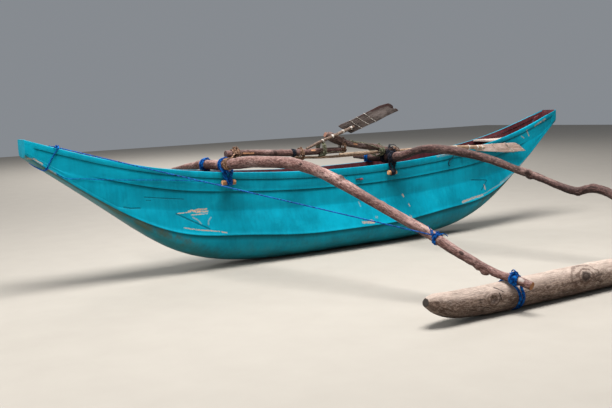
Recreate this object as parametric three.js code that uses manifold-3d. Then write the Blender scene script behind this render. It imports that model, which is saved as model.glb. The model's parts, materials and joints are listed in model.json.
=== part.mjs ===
// An outrigger canoe as it stands on a beach: a narrow moulded hull with a slot along its top,
// two bent wooden booms lashed across it, and a log float under the booms' outer ends.
// Millimetres, +Z up. The hull lies along X with its bow at -X, and the float lies to windward, at -Y.
// While it is built, X = 0 is amidships, Y = 0 is the hull's middle and Z = 0 is the sand.

import * as THREE from "three";
import { mergeVertices } from "three/addons/utils/BufferGeometryUtils.js";
import Module from "manifold-3d";

const wasm = await Module();
wasm.setup();

// Hull
const HALF_LENGTH = 3500;
const RIM_HALF_BREADTH = 275; // outside of the rim, amidships
const RIM_END_HALF_BREADTH = 121;
const RIM_FULLNESS = 2.4; // the power that the rim's plan curve follows
const CHINE_HALF_BREADTH = 384;
const CHINE_END_HALF_BREADTH = 117;
const CHINE_FULLNESS = [1.9, 1.15];
const WALL = 8; // moulded glass fibre
const RIM_WIDTH = 22;
const RIM_PROUD = 9; // how far the rim stands out over the side
const RIM_CHAMFER = 4;
const STRAKE_STEP = 6; // how far the upper strake laps over the lower side
const STRAKE_DROP = [3, 8]; // below the strake's edge, where the step ends outside and inside
const STRAKE_LEAST = 0.35; // the least share of the way from chine to rim foot where the strake runs
const KNUCKLE_LEAST = 34; // the knuckle stays this far above the chine
const KNUCKLE_TUCK = 14; // how far inside the rim the knuckle lies
const KNUCKLE_FLARE = 0.1; // the share of the chine's flare that the knuckle takes
const KNUCKLE_FADE = [2350, 2750]; // the stretch of the half length where the knuckle dies out
const STRAKE_FADE = [2700, 2900]; // and the one where the strake's step does
const LEDGE = 16; // how far the side overhangs the belly at the chine
const FLANGE = 30; // the side's foot, turned in over the belly's edge
// Inner corner over the chine: how far in from the side's outside and up from the chine
const CHINE_INSIDE = [
  [12, 12.8],
  [14, 4],
];
const HEAD_LENGTH = 180; // the blunt block that closes each end
const HEAD_WALL = 14;
const HEAD_END_WALL = 26;
const HEAD_INSET = 4;
const HEAD_STEPS = 4;
// The head's rounded bottom: share of the chine's half breadth, share of the way down to the keel
const HEAD_ROUND = [
  [0.86, 0.62],
  [0.4, 0.94],
];
// The space inside the head: height over the rim and the chine, share of the breadth at its floor
const HEAD_TROUGH = { over: 30, chineRise: 6, floorShare: 0.8, startsBefore: 2 };
// The belly's round as the lashings see it: share of its half breadth, share of the way down
const BELLY_ROUND = [
  [0.92, 0.5],
  [0.5, 0.9],
  [0.1, 1],
];
const STATIONS = 28;
// The hull's long mouldings are made in lengths: name, first and last station
const LENGTHS = [
  ["bow", 0, 9],
  ["middle", 9, 19],
  ["stern", 19, 28],
];
const BELLY_STEPS = 12;
const GAP = 0.3; // between pieces that touch

// Heights of the hull's long lines, at shares of the half length, alike at both ends.
// share, rim top, rim foot, strake, knuckle, chine, keel
const HULL_LINES = [
  [0.0, 927, 847, 731, 541, 261, 0],
  [0.2, 941, 866, 744, 553, 272, 0],
  [0.4, 985, 914, 787, 590, 338, 40],
  [0.6, 1064, 1006, 862, 657, 436, 250],
  [0.8, 1219, 1163, 1028, 778, 792, 750],
  [1.0, 1438, 1383, 1235, 933, 1304, 1267],
];

// Seat planks at both ends
const SEAT_TOP = 1100;
const SEAT_THICKNESS = 24;
const SEAT_FROM = 2290;
const SEAT_TO = 2840;

// Limbs of wood. Each row: x, y, z of the middle, then the radius.
const BOOM_BOW = [
  [-1616, 953, 978, 18],
  [-1599, 822, 991, 27],
  [-1579, 672, 1009, 36],
  [-1552, 464, 1034, 44],
  [-1528, 284, 1051, 50],
  [-1525, 0, 1058, 52],
  [-1524, -180, 1068, 53],
  [-1522, -285, 1080, 54],
  [-1496, -384, 1085, 57],
  [-1442, -606, 1106, 58],
  [-1407, -749, 1109, 57],
  [-1357, -955, 1108, 56],
  [-1308, -1154, 1102, 57],
  [-1247, -1406, 1061, 52],
  [-1174, -1704, 965, 52],
  [-1105, -1986, 846, 46],
  [-1001, -2410, 667, 44],
  [-929, -2708, 545, 43],
  [-882, -2897, 450, 40],
  [-816, -3168, 335, 36],
  [-776, -3335, 278, 32],
  [-738, -3500, 250, 33],
  [-711, -3610, 218, 33],
];
const BOOM_STERN = [
  [688, 620, 978, 20],
  [668, 460, 985, 30],
  [650, 290, 989, 42],
  [640, 200, 988, 46],
  [617, -7, 990, 46],
  [597, -190, 999, 47],
  [590, -285, 1004, 48],
  [613, -380, 1016, 49],
  [648, -524, 1053, 45],
  [687, -685, 1094, 44],
  [735, -879, 1103, 48],
  [781, -1068, 1088, 47],
  [834, -1287, 1052, 46],
  [878, -1464, 1015, 42],
  [920, -1636, 968, 42],
  [960, -1804, 910, 38],
  [1000, -1967, 861, 42],
  [1039, -2126, 808, 36],
  [1077, -2281, 752, 37],
  [1114, -2431, 707, 40],
  [1132, -2506, 702, 42],
  [1150, -2579, 724, 41],
  [1168, -2652, 732, 41],
  [1185, -2724, 721, 43],
  [1209, -2820, 683, 42],
  [1276, -3100, 471, 39],
  [1310, -3235, 355, 39],
  [1341, -3366, 272, 38],
  [1375, -3500, 234, 37],
  [1402, -3610, 201, 34],
];
const FLOAT = [
  [-1560, -3385, 192, 34],
  [-1500, -3380, 180, 64],
  [-1390, -3375, 150, 92],
  [-1200, -3370, 126, 108],
  [-950, -3370, 115, 115],
  [-500, -3368, 118, 118],
  [0, -3365, 119, 119],
  [500, -3365, 118, 118],
  [1000, -3368, 115, 115],
  [1400, -3370, 112, 112],
  [1750, -3375, 124, 104],
  [2000, -3380, 150, 88],
  [2140, -3385, 178, 60],
  [2200, -3388, 190, 34],
];
const LONG_SPAR = [
  [-1500, -190, 1171, 42],
  [-1426, -190, 1173, 37],
  [-1215, -190, 1170, 32],
  [-728, -190, 1137, 37],
  [-342, -190, 1131, 35],
  [-120, -190, 1128, 32],
  [-5, -190, 1126, 25],
];
const CROOKED_SPAR = [
  [-275, -200, 1309, 30],
  [-225, -200, 1290, 44],
  [-11, -200, 1203, 38],
  [153, -200, 1169, 36],
  [264, -200, 1150, 37],
  [405, -200, 1130, 35],
  [560, -200, 1092, 33],
  [640, -200, 1084, 31],
  [745, -200, 1072, 24],
];
const LIGHT_STICK = [
  [20, -40, 1064, 17],
  [250, -42, 1062, 20],
  [480, -44, 1062, 21],
  [600, -46, 1063, 19],
];

// Paddles: each is a pole with a board bound along its outer end.
const RAISED_POLE = [
  [-560, -262, 1173, 13],
  [-397, -262, 1231, 17],
  [-116, -262, 1319, 18],
  [30, -262, 1365, 17],
  [80, -262, 1379, 14],
];
const RAISED_BOARD = { thickness: 15, y: -235 };
const RAISED_BOARD_OUTLINE = [
  [-116, 1395],
  [-79, 1414],
  [50, 1450],
  [246, 1520],
  [456, 1598],
  [584, 1622],
  [648, 1591],
  [656, 1561],
  [694, 1560],
  [729, 1530],
  [403, 1419],
  [186, 1351],
  [52, 1307],
  [-84, 1371],
];
const STOWED_POLE = [
  [-665, -140, 1078, 12],
  [-560, -140, 1074, 14],
  [-313, -140, 1060, 14],
  [-30, -140, 1056, 15],
  [600, -140, 1064, 15],
  [1563, -270, 1057, 21],
  [1758, -284, 1046, 24],
  [1902, -284, 1035, 24],
  [2021, -284, 1026, 20],
];
const STOWED_BOARD = { thickness: 14, y: -250 };
const STOWED_BOARD_OUTLINE = [
  [1905, 1058],
  [2063, 1061],
  [2435, 1055],
  [2603, 1045],
  [2679, 1002],
  [2774, 937],
  [2535, 934],
  [1938, 988],
  [1900, 1012],
];

// Toggles that hold the booms' lashings against the hull's side
const TOGGLE_RADIUS = 27;
const TOGGLE_DROP = 105; // from the rim's top down to the toggle's middle

// Rope
const ROPE = 8;
const STAY_ROPE = 5;
const LASHING_THICKNESS = 11;
const BAND_STEPS = 12;
const BAND_EASE = 3; // between a boom and the band of rope round it
const BOOM_BAND_WIDTH = 46;
const TOGGLE_BAND_WIDTH = 50;
const TOGGLE_REST = 2; // between the hull's side and a toggle
const STRAND_SPREAD = 17; // from a toggle's middle to each strand of rope
const STRAND_RISE = 6; // of a strand's end over the toggle's middle
const STAY_FROM = [-3212, -166, 1350];
const STAY_TO = [-952, -2778, 546];
const STAY_LASHING = { middle: [-913, -2774, 512], along: [0.24, -1, -0.5], inner: 43.5, width: 52 };
const BOW_LOOP_TOP = -3212;
const BOW_LOOP_FOOT = -3322;
const BOW_LOOP_STEPS = 36;
const PEG = { from: 66, to: 160, height: 788, radius: 11, clear: 1.5 };

// Lashings that bind two poles lying side by side, as a ring across X
// name, middle x y z, half breadth, half height, width, finish
const POLE_TIES = [
  ["tie_raised_paddle", [-355, -222, 1160], 76, 84, 46, "greenRope"],
  ["tie_spar_splice", [-45, -195, 1177], 50, 88, 30, "brownRope"],
  ["tie_light_stick", [488, -130, 1088], 122, 80, 56, "greenRope"],
  ["tie_stowed_paddle", [-592, -175, 1115], 66, 72, 44, "brownRope"],
];
const POLE_TIE_THICKNESS = 8;
const SPAR_WRAP = { middle: [-690, -190, 1135], inner: 37.6, width: 52, thickness: 5 };

// Where each boom crosses a side of the hull, held by a toggle that hangs on the hull's side
// name, hand, boom's rows, toggle's x and length, places across the hull of the bands on the boom, finish
const CROSSINGS = [
  ["bow_windward", -1, BOOM_BOW, -1529, 150, [-196], "blueRope"],
  ["bow_leeward", 1, BOOM_BOW, -1527, 150, [255], "blueRope"],
  ["stern_windward", -1, BOOM_STERN, 562, 116, [-120, -290], "blackRope"],
  ["stern_leeward", 1, BOOM_STERN, 648, 150, [245], "blueRope"],
];

// The lashing where the crooked spar lies across the stern boom, two rings set diagonally
const CROSS_RINGS = { middle: [597, -200, 1036], breadth: 80, height: 92, width: 36, thickness: 10 };

// The rope that ties the long spar's end to the bow boom
const SPAR_TIE = { boomY: -292, spar: [-1385, -190, 1173], inner: 37, width: 70, thickness: 9 };
// Its strands: share of the boom's radius beside and above its middle, then x and z from the spar's
const SPAR_TIE_STRANDS = [
  [0.3, 1.15, -20, 8],
  [0.8, 0.7, -10, -16],
];

// Lashings of the booms to the float: two rings round the float and a saddle on the boom
const FLOAT_RING = { shift: 42, middle: 124, breadth: 116, height: 114, width: 28, thickness: 9 };
const FLOAT_SADDLE = { width: 70, thickness: 13 };
// name, boom's rows, x and y of the rings round the float, y and inner radius of the saddle on the boom
const FLOAT_LASHINGS = [
  ["float_lashing_bow", BOOM_BOW, [-745, -3366], -3440, 35],
  ["float_lashing_stern", BOOM_STERN, [1361, -3366], -3440, 41],
];

const COLOURS = {
  turquoise: { color: 0x0a93a8, roughness: 0.5, metalness: 0 },
  bark: { color: 0x6b4f45, roughness: 0.85, metalness: 0 },
  driftwood: { color: 0x8d8072, roughness: 0.9, metalness: 0 },
  paleWood: { color: 0xb59a7c, roughness: 0.85, metalness: 0 },
  blueRope: { color: 0x123fae, roughness: 0.8, metalness: 0 },
  blackRope: { color: 0x17181c, roughness: 0.85, metalness: 0 },
  brownRope: { color: 0x7b5a36, roughness: 0.9, metalness: 0 },
  greenRope: { color: 0x3d6b4a, roughness: 0.85, metalness: 0 },
  redPlastic: { color: 0x8c1f26, roughness: 0.5, metalness: 0 },
};

const boat = new THREE.Group();

// Adds one piece to the boat.
function add(name, geometry, finish) {
  const mesh = new THREE.Mesh(geometry, new THREE.MeshStandardMaterial(COLOURS[finish]));
  mesh.name = name;
  boat.add(mesh);
}

// The volume inside a closed surface, negative when its faces point inwards.
function volumeInside(points, faces) {
  let six = 0;
  const cross = new THREE.Vector3();
  for (let i = 0; i < faces.length; i += 3) {
    cross.crossVectors(points[faces[i + 1]], points[faces[i + 2]]);
    six += points[faces[i]].dot(cross);
  }
  return six / 6;
}

// A closed surface through a row of rings, each an even number of points round the piece.
// In an end cap, point k is joined across the piece to point n - 1 - k.
function skin(rings, isLoop = false) {
  const count = rings[0].length;
  const points = rings.flat();
  const faces = [];
  const quad = (a, b, c, d) => faces.push(a, b, c, a, c, d);
  const spans = isLoop ? rings.length : rings.length - 1;
  for (let i = 0; i < spans; i++) {
    const near = i * count;
    const far = ((i + 1) % rings.length) * count;
    for (let k = 0; k < count; k++) {
      const next = (k + 1) % count;
      quad(near + k, near + next, far + next, far + k);
    }
  }
  if (!isLoop) {
    const last = (rings.length - 1) * count;
    for (let k = 0; k < count / 2 - 1; k++) {
      quad(k + 1, k, count - 1 - k, count - 2 - k);
      quad(last + k, last + k + 1, last + count - 2 - k, last + count - 1 - k);
    }
  }
  if (volumeInside(points, faces) < 0) faces.reverse();
  const geometry = new THREE.BufferGeometry().setFromPoints(points);
  geometry.setIndex(faces);
  geometry.computeVertexNormals();
  return geometry;
}

// A geometry as a solid that can be joined and cut, and back again.
function solidOf(geometry) {
  const bare = new THREE.BufferGeometry();
  bare.setAttribute("position", geometry.getAttribute("position").clone());
  if (geometry.index) bare.setIndex(geometry.index.clone());
  const merged = mergeVertices(bare, 1e-3);
  return new wasm.Manifold(
    new wasm.Mesh({
      numProp: 3,
      vertProperties: new Float32Array(merged.getAttribute("position").array),
      triVerts: new Uint32Array(merged.index.array),
    }),
  );
}

function geometryOf(solid) {
  const mesh = solid.getMesh();
  const geometry = new THREE.BufferGeometry();
  geometry.setAttribute("position", new THREE.BufferAttribute(mesh.vertProperties, 3));
  geometry.setIndex(new THREE.BufferAttribute(mesh.triVerts, 1));
  geometry.computeVertexNormals();
  return geometry;
}

const joined = (geometries) => geometries.map(solidOf).reduce((all, one) => all.add(one));
const cutBy = (solid, cutters) => cutters.reduce((left, cutter) => left.subtract(cutter), solid);

// A ring of points round a middle, in the plane of two unit vectors, with its lowest point on -up.
function ringAt(middle, side, up, radius, sides) {
  return Array.from({ length: sides }, (_, k) => {
    const angle = -Math.PI / 2 + (2 * Math.PI * k) / sides;
    return middle
      .clone()
      .addScaledVector(side, radius * Math.cos(angle))
      .addScaledVector(up, radius * Math.sin(angle));
  });
}

// A limb or a rope along rows of x, y, z and radius. It swells by the same amount all along.
function limb(rows, { sides = 12, steps = 2, swell = 0, upright = [0, 0, 1] } = {}) {
  const path = new THREE.CatmullRomCurve3(
    rows.map(([x, y, z]) => new THREE.Vector3(x, y, z)),
    false,
    "centripetal",
  );
  const reference = new THREE.Vector3(...upright);
  const total = (rows.length - 1) * steps;
  const rings = Array.from({ length: total + 1 }, (_, i) => {
    const t = i / total;
    const row = Math.min(Math.floor(t * (rows.length - 1)), rows.length - 2);
    const radius = THREE.MathUtils.lerp(rows[row][3], rows[row + 1][3], t * (rows.length - 1) - row);
    const tangent = path.getTangent(t);
    const side = new THREE.Vector3().crossVectors(reference, tangent).normalize();
    const up = new THREE.Vector3().crossVectors(tangent, side);
    return ringAt(path.getPoint(t), side, up, radius + swell, sides);
  });
  return skin(rings);
}

// A rope of one thickness through points.
function rope(points, radius, upright = [0, 0, 1]) {
  return limb(
    points.map((point) => [...point, radius]),
    { sides: 6, steps: 1, upright },
  );
}

// A flat band of lashing round an axis. Its hole has the given half breadth and half height.
function band(middle, axis, [breadth, height], width, thickness = LASHING_THICKNESS) {
  const along = new THREE.Vector3(...axis).normalize();
  const side = new THREE.Vector3(0, 0, 1).cross(along).normalize();
  const up = new THREE.Vector3().crossVectors(along, side);
  const profile = [
    [-width / 2, 0],
    [-width / 2.6, thickness],
    [width / 2.6, thickness],
    [width / 2, 0],
  ];
  const rings = Array.from({ length: BAND_STEPS }, (_, i) => {
    const angle = (2 * Math.PI * i) / BAND_STEPS;
    return profile.map(([shift, rise]) =>
      new THREE.Vector3(...middle)
        .addScaledVector(along, shift)
        .addScaledVector(side, (breadth + rise) * Math.cos(angle))
        .addScaledVector(up, (height + rise) * Math.sin(angle)),
    );
  });
  return skin(rings, true);
}

// A board cut from an outline of x and z points, lying along XZ at its y.
function board(outline, { thickness, y }) {
  const shape = new THREE.Shape(outline.map(([x, z]) => new THREE.Vector2(x, z)));
  const geometry = new THREE.ExtrudeGeometry(shape, { depth: thickness, bevelEnabled: false });
  geometry.rotateX(Math.PI / 2);
  geometry.translate(0, y + thickness / 2, 0);
  return geometry;
}

// The hull's lines at any place along it.
const hullHeights = new THREE.CubicInterpolant(
  HULL_LINES.map((row) => row[0]),
  HULL_LINES.flatMap((row) => row.slice(1)),
  HULL_LINES[0].length - 1,
);
hullHeights.settings = {
  endingStart: THREE.ZeroSlopeEnding,
  endingEnd: THREE.ZeroCurvatureEnding,
};

function hullAt(x) {
  const share = Math.min(Math.abs(x) / HALF_LENGTH, 1);
  const [rim, foot, strakeLine, knuckleLine, chine, keelLine] = Array.from(hullHeights.evaluate(share));
  const strake = Math.max(strakeLine, chine + STRAKE_LEAST * (foot - chine));
  const knuckle = Math.max(knuckleLine, chine + Math.min(KNUCKLE_LEAST, 0.5 * (strake - chine)));
  const spread = (middle, end, share_) => end + (middle - end) * share_;
  const top = spread(RIM_HALF_BREADTH, RIM_END_HALF_BREADTH, 1 - share ** RIM_FULLNESS);
  const bilge = spread(
    CHINE_HALF_BREADTH,
    CHINE_END_HALF_BREADTH,
    (1 - share ** CHINE_FULLNESS[0]) ** CHINE_FULLNESS[1],
  );
  // 1 as far as a stretch of the half length and 0 beyond it
  const fading = ([from, to]) => 1 - THREE.MathUtils.clamp((Math.abs(x) - from) / (to - from), 0, 1);
  const outside = top - RIM_PROUD;
  const plain = spread(outside, bilge, (knuckle - chine) / (strake - chine));
  const kinked = top - KNUCKLE_TUCK + KNUCKLE_FLARE * (bilge - top);
  const flank = spread(kinked, plain, fading(KNUCKLE_FADE));
  const step = fading(STRAKE_FADE);
  return { rim, foot, strake, knuckle, chine, keel: Math.max(keelLine, 0), top, outside, bilge, flank, step };
}

const SHELL_END = HALF_LENGTH - HEAD_LENGTH;
const stations = Array.from({ length: STATIONS + 1 }, (_, i) =>
  THREE.MathUtils.lerp(-SHELL_END, SHELL_END, i / STATIONS),
);

// A long hull piece lofted from a section: a function of x that gives a ring of y and z points.
const loft = (places, section) =>
  skin(places.map((x) => section(x).map(([y, z]) => new THREE.Vector3(x, y, z))));

function bellySection(x) {
  const at = hullAt(x);
  const edge = at.chine - WALL / 2 - GAP;
  const arc = (inset) =>
    Array.from({ length: BELLY_STEPS + 1 }, (_, k) => {
      const angle = (Math.PI * k) / BELLY_STEPS;
      const breadth = at.bilge - LEDGE - inset;
      const depth = edge - at.keel - inset;
      return [-breadth * Math.cos(angle), edge - depth * Math.sin(angle)];
    });
  return [...arc(0), ...arc(WALL).reverse()];
}

function sideSection(x, hand) {
  const at = hullAt(x);
  const under = at.outside - STRAKE_STEP * at.step;
  const outer = [
    [at.outside, at.foot - GAP],
    [at.outside + at.step, at.strake],
    [under, at.strake - STRAKE_DROP[0]],
    [at.flank, at.knuckle],
    [at.bilge, at.chine + WALL / 2],
    [at.bilge, at.chine - WALL / 2],
    [at.bilge - FLANGE, at.chine - WALL / 2],
  ];
  const inner = [
    [at.outside - WALL, at.foot - GAP],
    [at.outside - WALL, at.strake],
    [under - WALL, at.strake - STRAKE_DROP[1]],
    [at.flank - WALL, at.knuckle],
    ...CHINE_INSIDE.map(([inwards, rise]) => [at.bilge - inwards, at.chine + rise]),
    [at.bilge - FLANGE, at.chine + WALL / 2],
  ];
  return [...outer, ...inner.reverse()].map(([y, z]) => [hand * y, z]);
}

function rimSection(x, hand) {
  const at = hullAt(x);
  const inside = at.top - RIM_WIDTH;
  return [
    [at.top, at.rim - RIM_CHAMFER],
    [at.top, at.foot],
    [inside, at.foot],
    [inside, at.rim - RIM_CHAMFER],
    [inside + RIM_CHAMFER, at.rim],
    [at.top - RIM_CHAMFER, at.rim],
  ].map(([y, z]) => [hand * y, z]);
}

// The blunt block that closes an end: a trough with an end wall.
function headGeometry(end) {
  const near = SHELL_END + GAP;
  const outline = (x) => {
    const at = hullAt(x);
    const top = at.top - HEAD_INSET;
    const bilge = at.bilge - HEAD_INSET;
    const half = [
      [top, at.rim],
      [top - 1, at.foot],
      [bilge, at.chine],
      ...HEAD_ROUND.map(([across, down]) => [bilge * across, at.chine - down * (at.chine - at.keel)]),
    ];
    return [...half, ...half.map(([y, z]) => [-y, z]).reverse()];
  };
  const trough = (x) => {
    const at = hullAt(x);
    const top = at.top - HEAD_INSET - HEAD_WALL;
    const bilge = at.bilge - HEAD_INSET - HEAD_WALL;
    const half = [
      [top, at.rim + HEAD_TROUGH.over],
      [bilge, at.chine + HEAD_TROUGH.chineRise],
      [bilge * HEAD_TROUGH.floorShare, at.keel + HEAD_WALL],
    ];
    return [...half, ...half.map(([y, z]) => [-y, z]).reverse()];
  };
  const spaced = (from, to, count) =>
    Array.from({ length: count + 1 }, (_, i) => end * THREE.MathUtils.lerp(from, to, i / count));
  const whole = solidOf(loft(spaced(near, HALF_LENGTH, HEAD_STEPS), outline));
  const inside = spaced(near - HEAD_TROUGH.startsBefore, HALF_LENGTH - HEAD_END_WALL, HEAD_STEPS);
  const hollow = solidOf(loft(inside, trough));
  return geometryOf(whole.subtract(hollow));
}

// The hull's mouldings
for (const [part, first, last] of LENGTHS) {
  const places = stations.slice(first, last + 1);
  if (first > 0) places[0] += GAP / 2;
  if (last < STATIONS) places[places.length - 1] -= GAP / 2;
  add("hull_belly_" + part, loft(places, bellySection), "turquoise");
  for (const [side, hand] of [["windward", -1], ["leeward", 1]]) {
    const name = side + "_" + part;
    add("hull_side_" + name, loft(places, (x) => sideSection(x, hand)), "turquoise");
    add("rim_" + name, loft(places, (x) => rimSection(x, hand)), "turquoise");
  }
}
for (const [name, end] of [["bow", -1], ["stern", 1]]) {
  add("stem_head_" + name, headGeometry(end), "turquoise");
  const seat = [SEAT_FROM, (SEAT_FROM + SEAT_TO) / 2, SEAT_TO].map((x) => {
    const reach = hullAt(x).top - RIM_WIDTH - GAP;
    return [
      [-reach, SEAT_TOP],
      [-reach, SEAT_TOP - SEAT_THICKNESS],
      [reach, SEAT_TOP - SEAT_THICKNESS],
      [reach, SEAT_TOP],
    ].map(([y, z]) => new THREE.Vector3(end * x, y, z));
  });
  add("seat_plank_" + name, skin(seat), "paleWood");
}

// Booms and float. The float has a shallow seat under each boom, and grooves for its lashings.
const WOODEN_LIMBS = { boom_bow: BOOM_BOW, boom_stern: BOOM_STERN };
const grown = (rows, swell, options = {}) => solidOf(limb(rows, { ...options, swell }));
for (const [name, rows] of Object.entries(WOODEN_LIMBS)) add(name, limb(rows), "bark");
const boomCutters = Object.values(WOODEN_LIMBS).map((rows) => grown(rows, GAP));
const floatOptions = { sides: 16, steps: 1 };
const floatRings = ([x, y], swell) =>
  [-1, 1].map((turn) =>
    band(
      [x + turn * FLOAT_RING.shift, y, FLOAT_RING.middle],
      [1, 0, 0],
      [FLOAT_RING.breadth - swell, FLOAT_RING.height - swell],
      FLOAT_RING.width + 3 * swell,
      FLOAT_RING.thickness + 2 * swell,
    ),
  );
const grooves = FLOAT_LASHINGS.flatMap(([, , ringPlace]) => floatRings(ringPlace, GAP).map(solidOf));
const floatLog = cutBy(solidOf(limb(FLOAT, floatOptions)), [...boomCutters, ...grooves]);
add("float_log", geometryOf(floatLog), "driftwood");

// Poles along the hull, laid on the booms
const POLES = { long_spar: LONG_SPAR, crooked_spar: CROOKED_SPAR, light_stick: LIGHT_STICK };
for (const [name, rows] of Object.entries(POLES))
  add(name, limb(rows, { sides: 10 }), name === "light_stick" ? "paleWood" : "bark");

// Paddles
add("raised_paddle_pole", limb(RAISED_POLE, { sides: 10 }), "driftwood");
add("raised_paddle_board", board(RAISED_BOARD_OUTLINE, RAISED_BOARD), "driftwood");
add("stowed_paddle_pole", limb(STOWED_POLE, { sides: 10 }), "driftwood");
add("stowed_paddle_board", board(STOWED_BOARD_OUTLINE, STOWED_BOARD), "paleWood");

const allLimbs = [...boomCutters, ...Object.values(POLES).map((rows) => grown(rows, GAP, { sides: 10 }))];
for (const rows of [STOWED_POLE, RAISED_POLE]) allLimbs.push(grown(rows, GAP, { sides: 10 }));
// The space that the whole hull fills, with a gap all round.
const hullSpace = (() => {
  const outline = (x) => {
    const at = hullAt(x);
    const half = [
      [at.top + GAP, at.rim + GAP],
      [at.top + GAP, at.foot - GAP],
      [at.outside + 1 + GAP, at.foot - 2 * GAP],
      [at.outside + 1 + GAP, at.strake - GAP],
      [at.flank + GAP, at.knuckle],
      [at.bilge + GAP, at.chine + WALL / 2],
      [at.bilge + GAP, at.chine - WALL / 2 - GAP],
      ...BELLY_ROUND.map(([across, down]) => [
        (at.bilge - LEDGE) * across,
        at.chine - down * (at.chine - at.keel) - GAP,
      ]),
    ];
    return [...half, ...half.map(([y, z]) => [-y, z]).reverse()];
  };
  const [tip, inHead] = [HALF_LENGTH + GAP, SHELL_END + HEAD_LENGTH / 3];
  const ends = [-tip, -inHead, inHead, tip];
  const places = [...stations, ...ends].sort((a, b) => a - b);
  return solidOf(loft(places, outline));
})();

// A limb's x, y, z and radius where it passes a given y. Its rows run towards -Y.
function across(rows, y) {
  const next = rows.findIndex((row) => row[1] <= y);
  const share = (y - rows[next - 1][1]) / (rows[next][1] - rows[next - 1][1]);
  return rows[next].map((value, i) => THREE.MathUtils.lerp(rows[next - 1][i], value, share));
}

// A band round a boom where it passes a given y.
function boomBand(rows, y, swell = 0) {
  const [x, , z, radius] = across(rows, y);
  const hole = [radius + BAND_EASE, radius + BAND_EASE];
  return band([x, y, z], [0, 1, 0], hole, BOOM_BAND_WIDTH + 2 * swell, LASHING_THICKNESS + swell);
}

// The largest body of a solid that its cuts have left in pieces.
const mainBody = (solid) =>
  solid.decompose().reduce((best, one) => (one.volume() > best.volume() ? one : best));

const toggleShape = { sides: 12, steps: 1 };
const toggleRopes = []; // the space of each lashing, with a gap round it
for (const [place, hand, rows, x, length, bands, finish] of CROSSINGS) {
  const at = hullAt(x);
  const toggleY = hand * (at.top + TOGGLE_RADIUS + TOGGLE_REST);
  const toggleZ = at.rim - TOGGLE_DROP;
  const toggle = [-1, 1].map((turn) => [x + (turn * length) / 2, toggleY, toggleZ, TOGGLE_RADIUS]);
  add("toggle_" + place, limb(toggle, toggleShape), "paleWood");
  const [boomX, bandY, boomZ, boomRadius] = across(rows, bands.at(-1));
  const strands = [-1, 1].map((turn) => [
    [boomX + turn * (boomRadius + 0.7 * ROPE), bandY, boomZ],
    [boomX + turn * (0.72 * boomRadius + ROPE), hand * (at.top + 2 * ROPE), at.rim - ROPE],
    [
      x + turn * STRAND_SPREAD,
      toggleY + hand * (TOGGLE_RADIUS + 0.6 * ROPE),
      toggleZ + STRAND_RISE,
    ],
  ]);
  // A turn of rope under the boom that joins its bands
  const under = bands.map((y) => {
    const [bx, , bz, radius] = across(rows, y);
    return [bx + 0.7 * (radius + ROPE), y, bz - 0.7 * (radius + ROPE)];
  });
  if (under.length > 1) strands.push(under);
  const onBoom = (swell) => [
    ...bands.map((y) => boomBand(rows, y, swell)),
    ...strands.map((points) => rope(points, ROPE + swell, [1, 0, 0])),
  ];
  const roundToggle = [TOGGLE_RADIUS + GAP, TOGGLE_RADIUS + GAP];
  const onToggle = band([x, toggleY, toggleZ], [1, 0, 0], roundToggle, TOGGLE_BAND_WIDTH);
  const cutters = [...allLimbs, hullSpace, grown(toggle, GAP, toggleShape)];
  const whole = cutBy(joined([...onBoom(0), onToggle]), cutters);
  add("lashing_" + place, geometryOf(mainBody(whole)), finish);
  toggleRopes.push(joined(onBoom(1)));
}

// Lashings between poles and booms
for (const [name, middle, breadth, height, width, finish] of POLE_TIES) {
  const ring = solidOf(band(middle, [1, 0, 0], [breadth, height], width, POLE_TIE_THICKNESS));
  add(name, geometryOf(cutBy(ring, allLimbs)), finish);
}
const wrapHole = [SPAR_WRAP.inner, SPAR_WRAP.inner];
const wrap = band(SPAR_WRAP.middle, [1, 0, 0], wrapHole, SPAR_WRAP.width, SPAR_WRAP.thickness);
add("spar_wrap", geometryOf(cutBy(solidOf(wrap), allLimbs)), "blackRope");
const crossRings = [-1, 1].map((turn) =>
  band(
    CROSS_RINGS.middle,
    [1, turn, 0],
    [CROSS_RINGS.breadth, CROSS_RINGS.height],
    CROSS_RINGS.width,
    CROSS_RINGS.thickness,
  ),
);
const aroundPoles = [...allLimbs, ...toggleRopes, hullSpace];
add("spar_lashing_stern", geometryOf(mainBody(cutBy(joined(crossRings), aroundPoles))), "blackRope");
const sparTie = (() => {
  const [x, y, z, radius] = across(BOOM_BOW, SPAR_TIE.boomY);
  const { spar, inner, width, thickness } = SPAR_TIE;
  const strands = SPAR_TIE_STRANDS.map(([beside, above, shift, rise]) => {
    const onBoom = [x + beside * radius, y, z + above * radius];
    const onSpar = [spar[0] + shift, spar[1] - inner - ROPE / 2, spar[2] + rise];
    return rope([onBoom, onSpar], ROPE);
  });
  return [
    boomBand(BOOM_BOW, SPAR_TIE.boomY),
    band(spar, [1, 0, 0], [inner, inner], width, thickness),
    ...strands,
  ];
})();
add("spar_lashing_bow", geometryOf(mainBody(cutBy(joined(sparTie), aroundPoles))), "brownRope");
const floatSpace = grown(FLOAT, GAP, floatOptions);
for (const [name, rows, ringPlace, saddleY, inner] of FLOAT_LASHINGS) {
  const [last, before] = [rows.at(-2), rows.at(-4)];
  const along = [last[0] - before[0], last[1] - before[1], last[2] - before[2]];
  const { width, thickness } = FLOAT_SADDLE;
  const place = across(rows, saddleY).slice(0, 3);
  const saddle = solidOf(band(place, along, [inner, inner], width, thickness)).subtract(floatSpace);
  const lashing = joined(floatRings(ringPlace, 0)).add(saddle);
  add(name, geometryOf(mainBody(cutBy(lashing, boomCutters))), "blueRope");
}

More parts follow.
